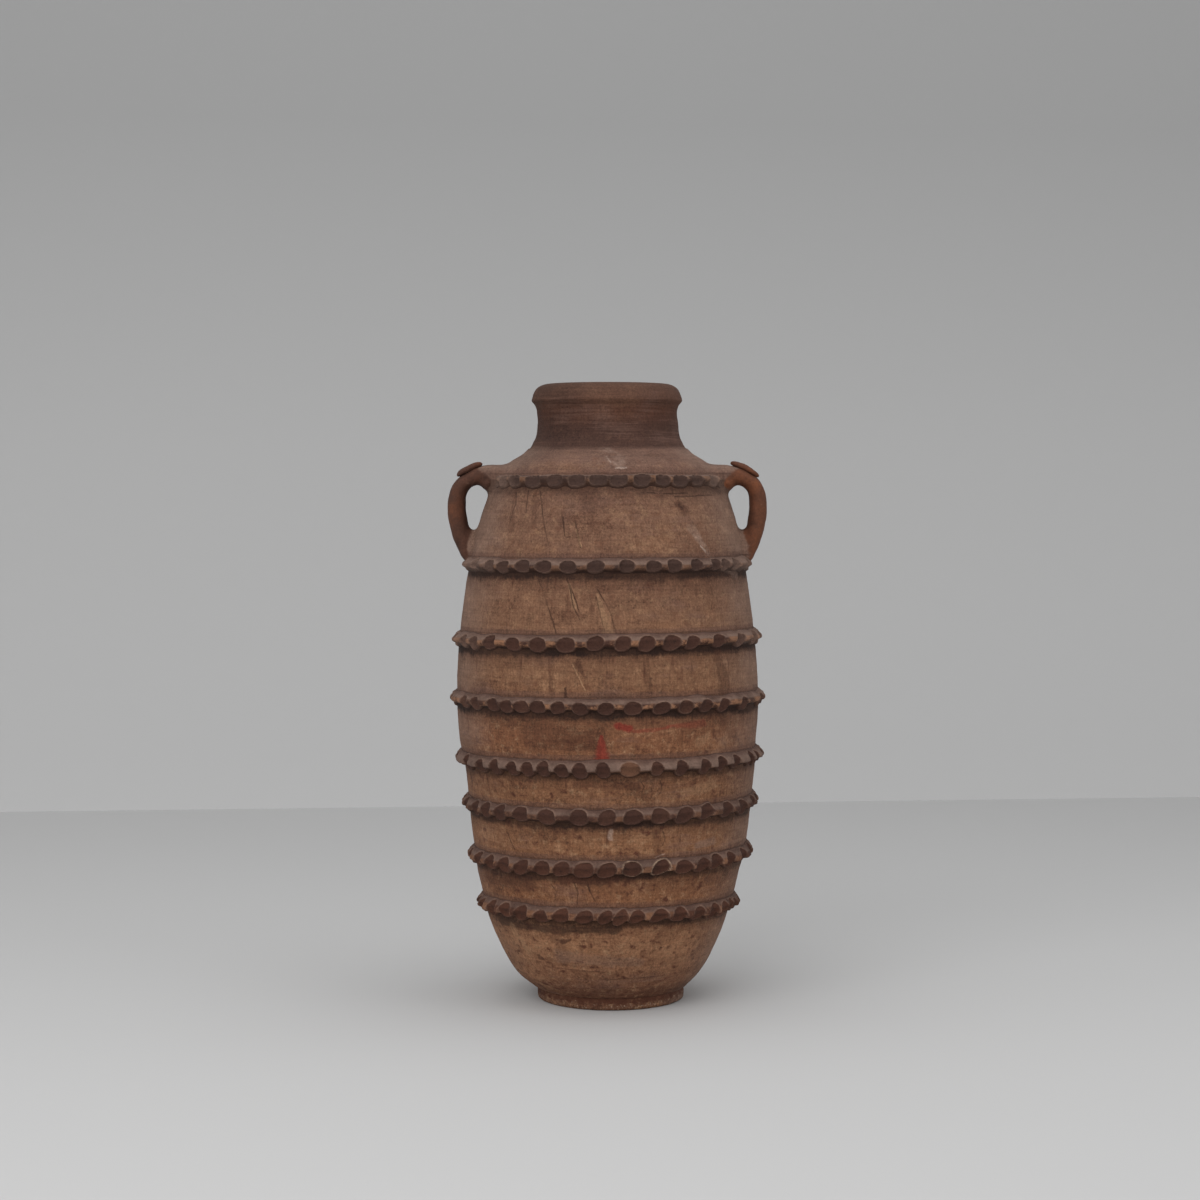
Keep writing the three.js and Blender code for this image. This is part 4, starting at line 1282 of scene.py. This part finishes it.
# The room: a plain floor and wall, soft light from the front and above
room = {
    "wallPoints": ((-1.077, 1.709), (1.130, 1.938)),
    # the floor's grey from the front to the back, paler towards the front: painted light
    "floor": [(-2, 0.57), (0, 0.56), (1.3, 0.52), (2, 0.5)],
    # the wall's grey at heights in metres: paler towards the floor, painted light thrown up from the floor
    "backdrop": [(0, 0.57), (0.1, 0.545), (0.65, 0.47), (1.25, 0.36), (2, 0.34)],
    "reach": 6.0,
    "tall": 4.0,
    "deep": 12,
    "light": 0.72,
}


def plainMaterial(name, greys, axis):
    # greys that change along one axis
    def inputs(graph):
        along = graph.parts(graph.node("ShaderNodeTexCoord", {}, {}, "Object"))[axis]
        first, last = greys[0][0], greys[-1][0]
        stops = [((place - first) / (last - first), (grey, grey, grey)) for place, grey in greys]
        share = (along - first) / (last - first)
        colour = graph.node("ShaderNodeValToRGB", {"stops": stops}, {0: share}, "Color")
        return {"Base Color": colour, "Roughness": 0.9, "Specular IOR Level": 0.1}

    return newMaterial(name, inputs)


def stagePlane(name, corners, material):
    mesh = bpy.data.meshes.new(name)
    mesh.from_pydata(corners, [], [(0, 1, 2, 3)])
    mesh.materials.append(material)
    plane = placed(name, mesh)


(leftX, leftY), (rightX, rightY) = room["wallPoints"]
along = Vector((rightX - leftX, rightY - leftY, 0)).normalized()
start = Vector((leftX, leftY, 0)) - along * room["reach"]
end = Vector((rightX, rightY, 0)) + along * room["reach"]
up = Vector((0, 0, room["tall"]))
stagePlane("backdrop", [start, end, end + up, start + up], plainMaterial("backdropPaint", room["backdrop"], 2))
front = Vector((0, -room["deep"], 0))
stagePlane("floor", [start, start + front, end + front, end], plainMaterial("floorPaint", room["floor"], 1))

world = bpy.data.worlds.new("softLight")
bpy.context.scene.world = world
world.use_nodes = True
backgroundInputs = world.node_tree.nodes["Background"].inputs
backgroundInputs["Color"].default_value = (1.0, 1.0, 1.0, 1)
backgroundInputs["Strength"].default_value = room["light"]

lamps = {
    "key": {"place": (-1.2, -2.9, 2.1), "aim": (0, 0, 0.3), "size": (2.8, 2.2), "power": 51},
    "top": {"place": (0.2, 0.1, 3.6), "aim": (0, 0.1, 0), "size": (3.0, 3.0), "power": 22},
    "side": {"place": (2.6, -1.6, 1.3), "aim": (0, 0, 0.35), "size": (1.6, 1.6), "power": 9},
}
for name, lamp in lamps.items():
    light = bpy.data.lights.new(name, "AREA")
    light.shape = "RECTANGLE"
    light.size, light.size_y = lamp["size"]
    light.energy = lamp["power"]
    shining = placed(name, light)
    shining.location = lamp["place"]
    way = Vector(lamp["aim"]) - Vector(lamp["place"])
    shining.rotation_euler = way.to_track_quat("-Z", "Y").to_euler()

camera = bpy.data.cameras.new("photoCamera")
camera.lens = photoCamera["lens"]
camera.sensor_width = 36
camera.clip_end = 60
viewer = placed("photoCamera", camera)
viewer.location = photoCamera["place"]
viewer.rotation_euler = (math.radians(90 - photoCamera["tippedDown"]), 0, 0)
bpy.context.scene.camera = viewer
bpy.context.scene.view_settings.view_transform = "Standard"
print("room and camera set")
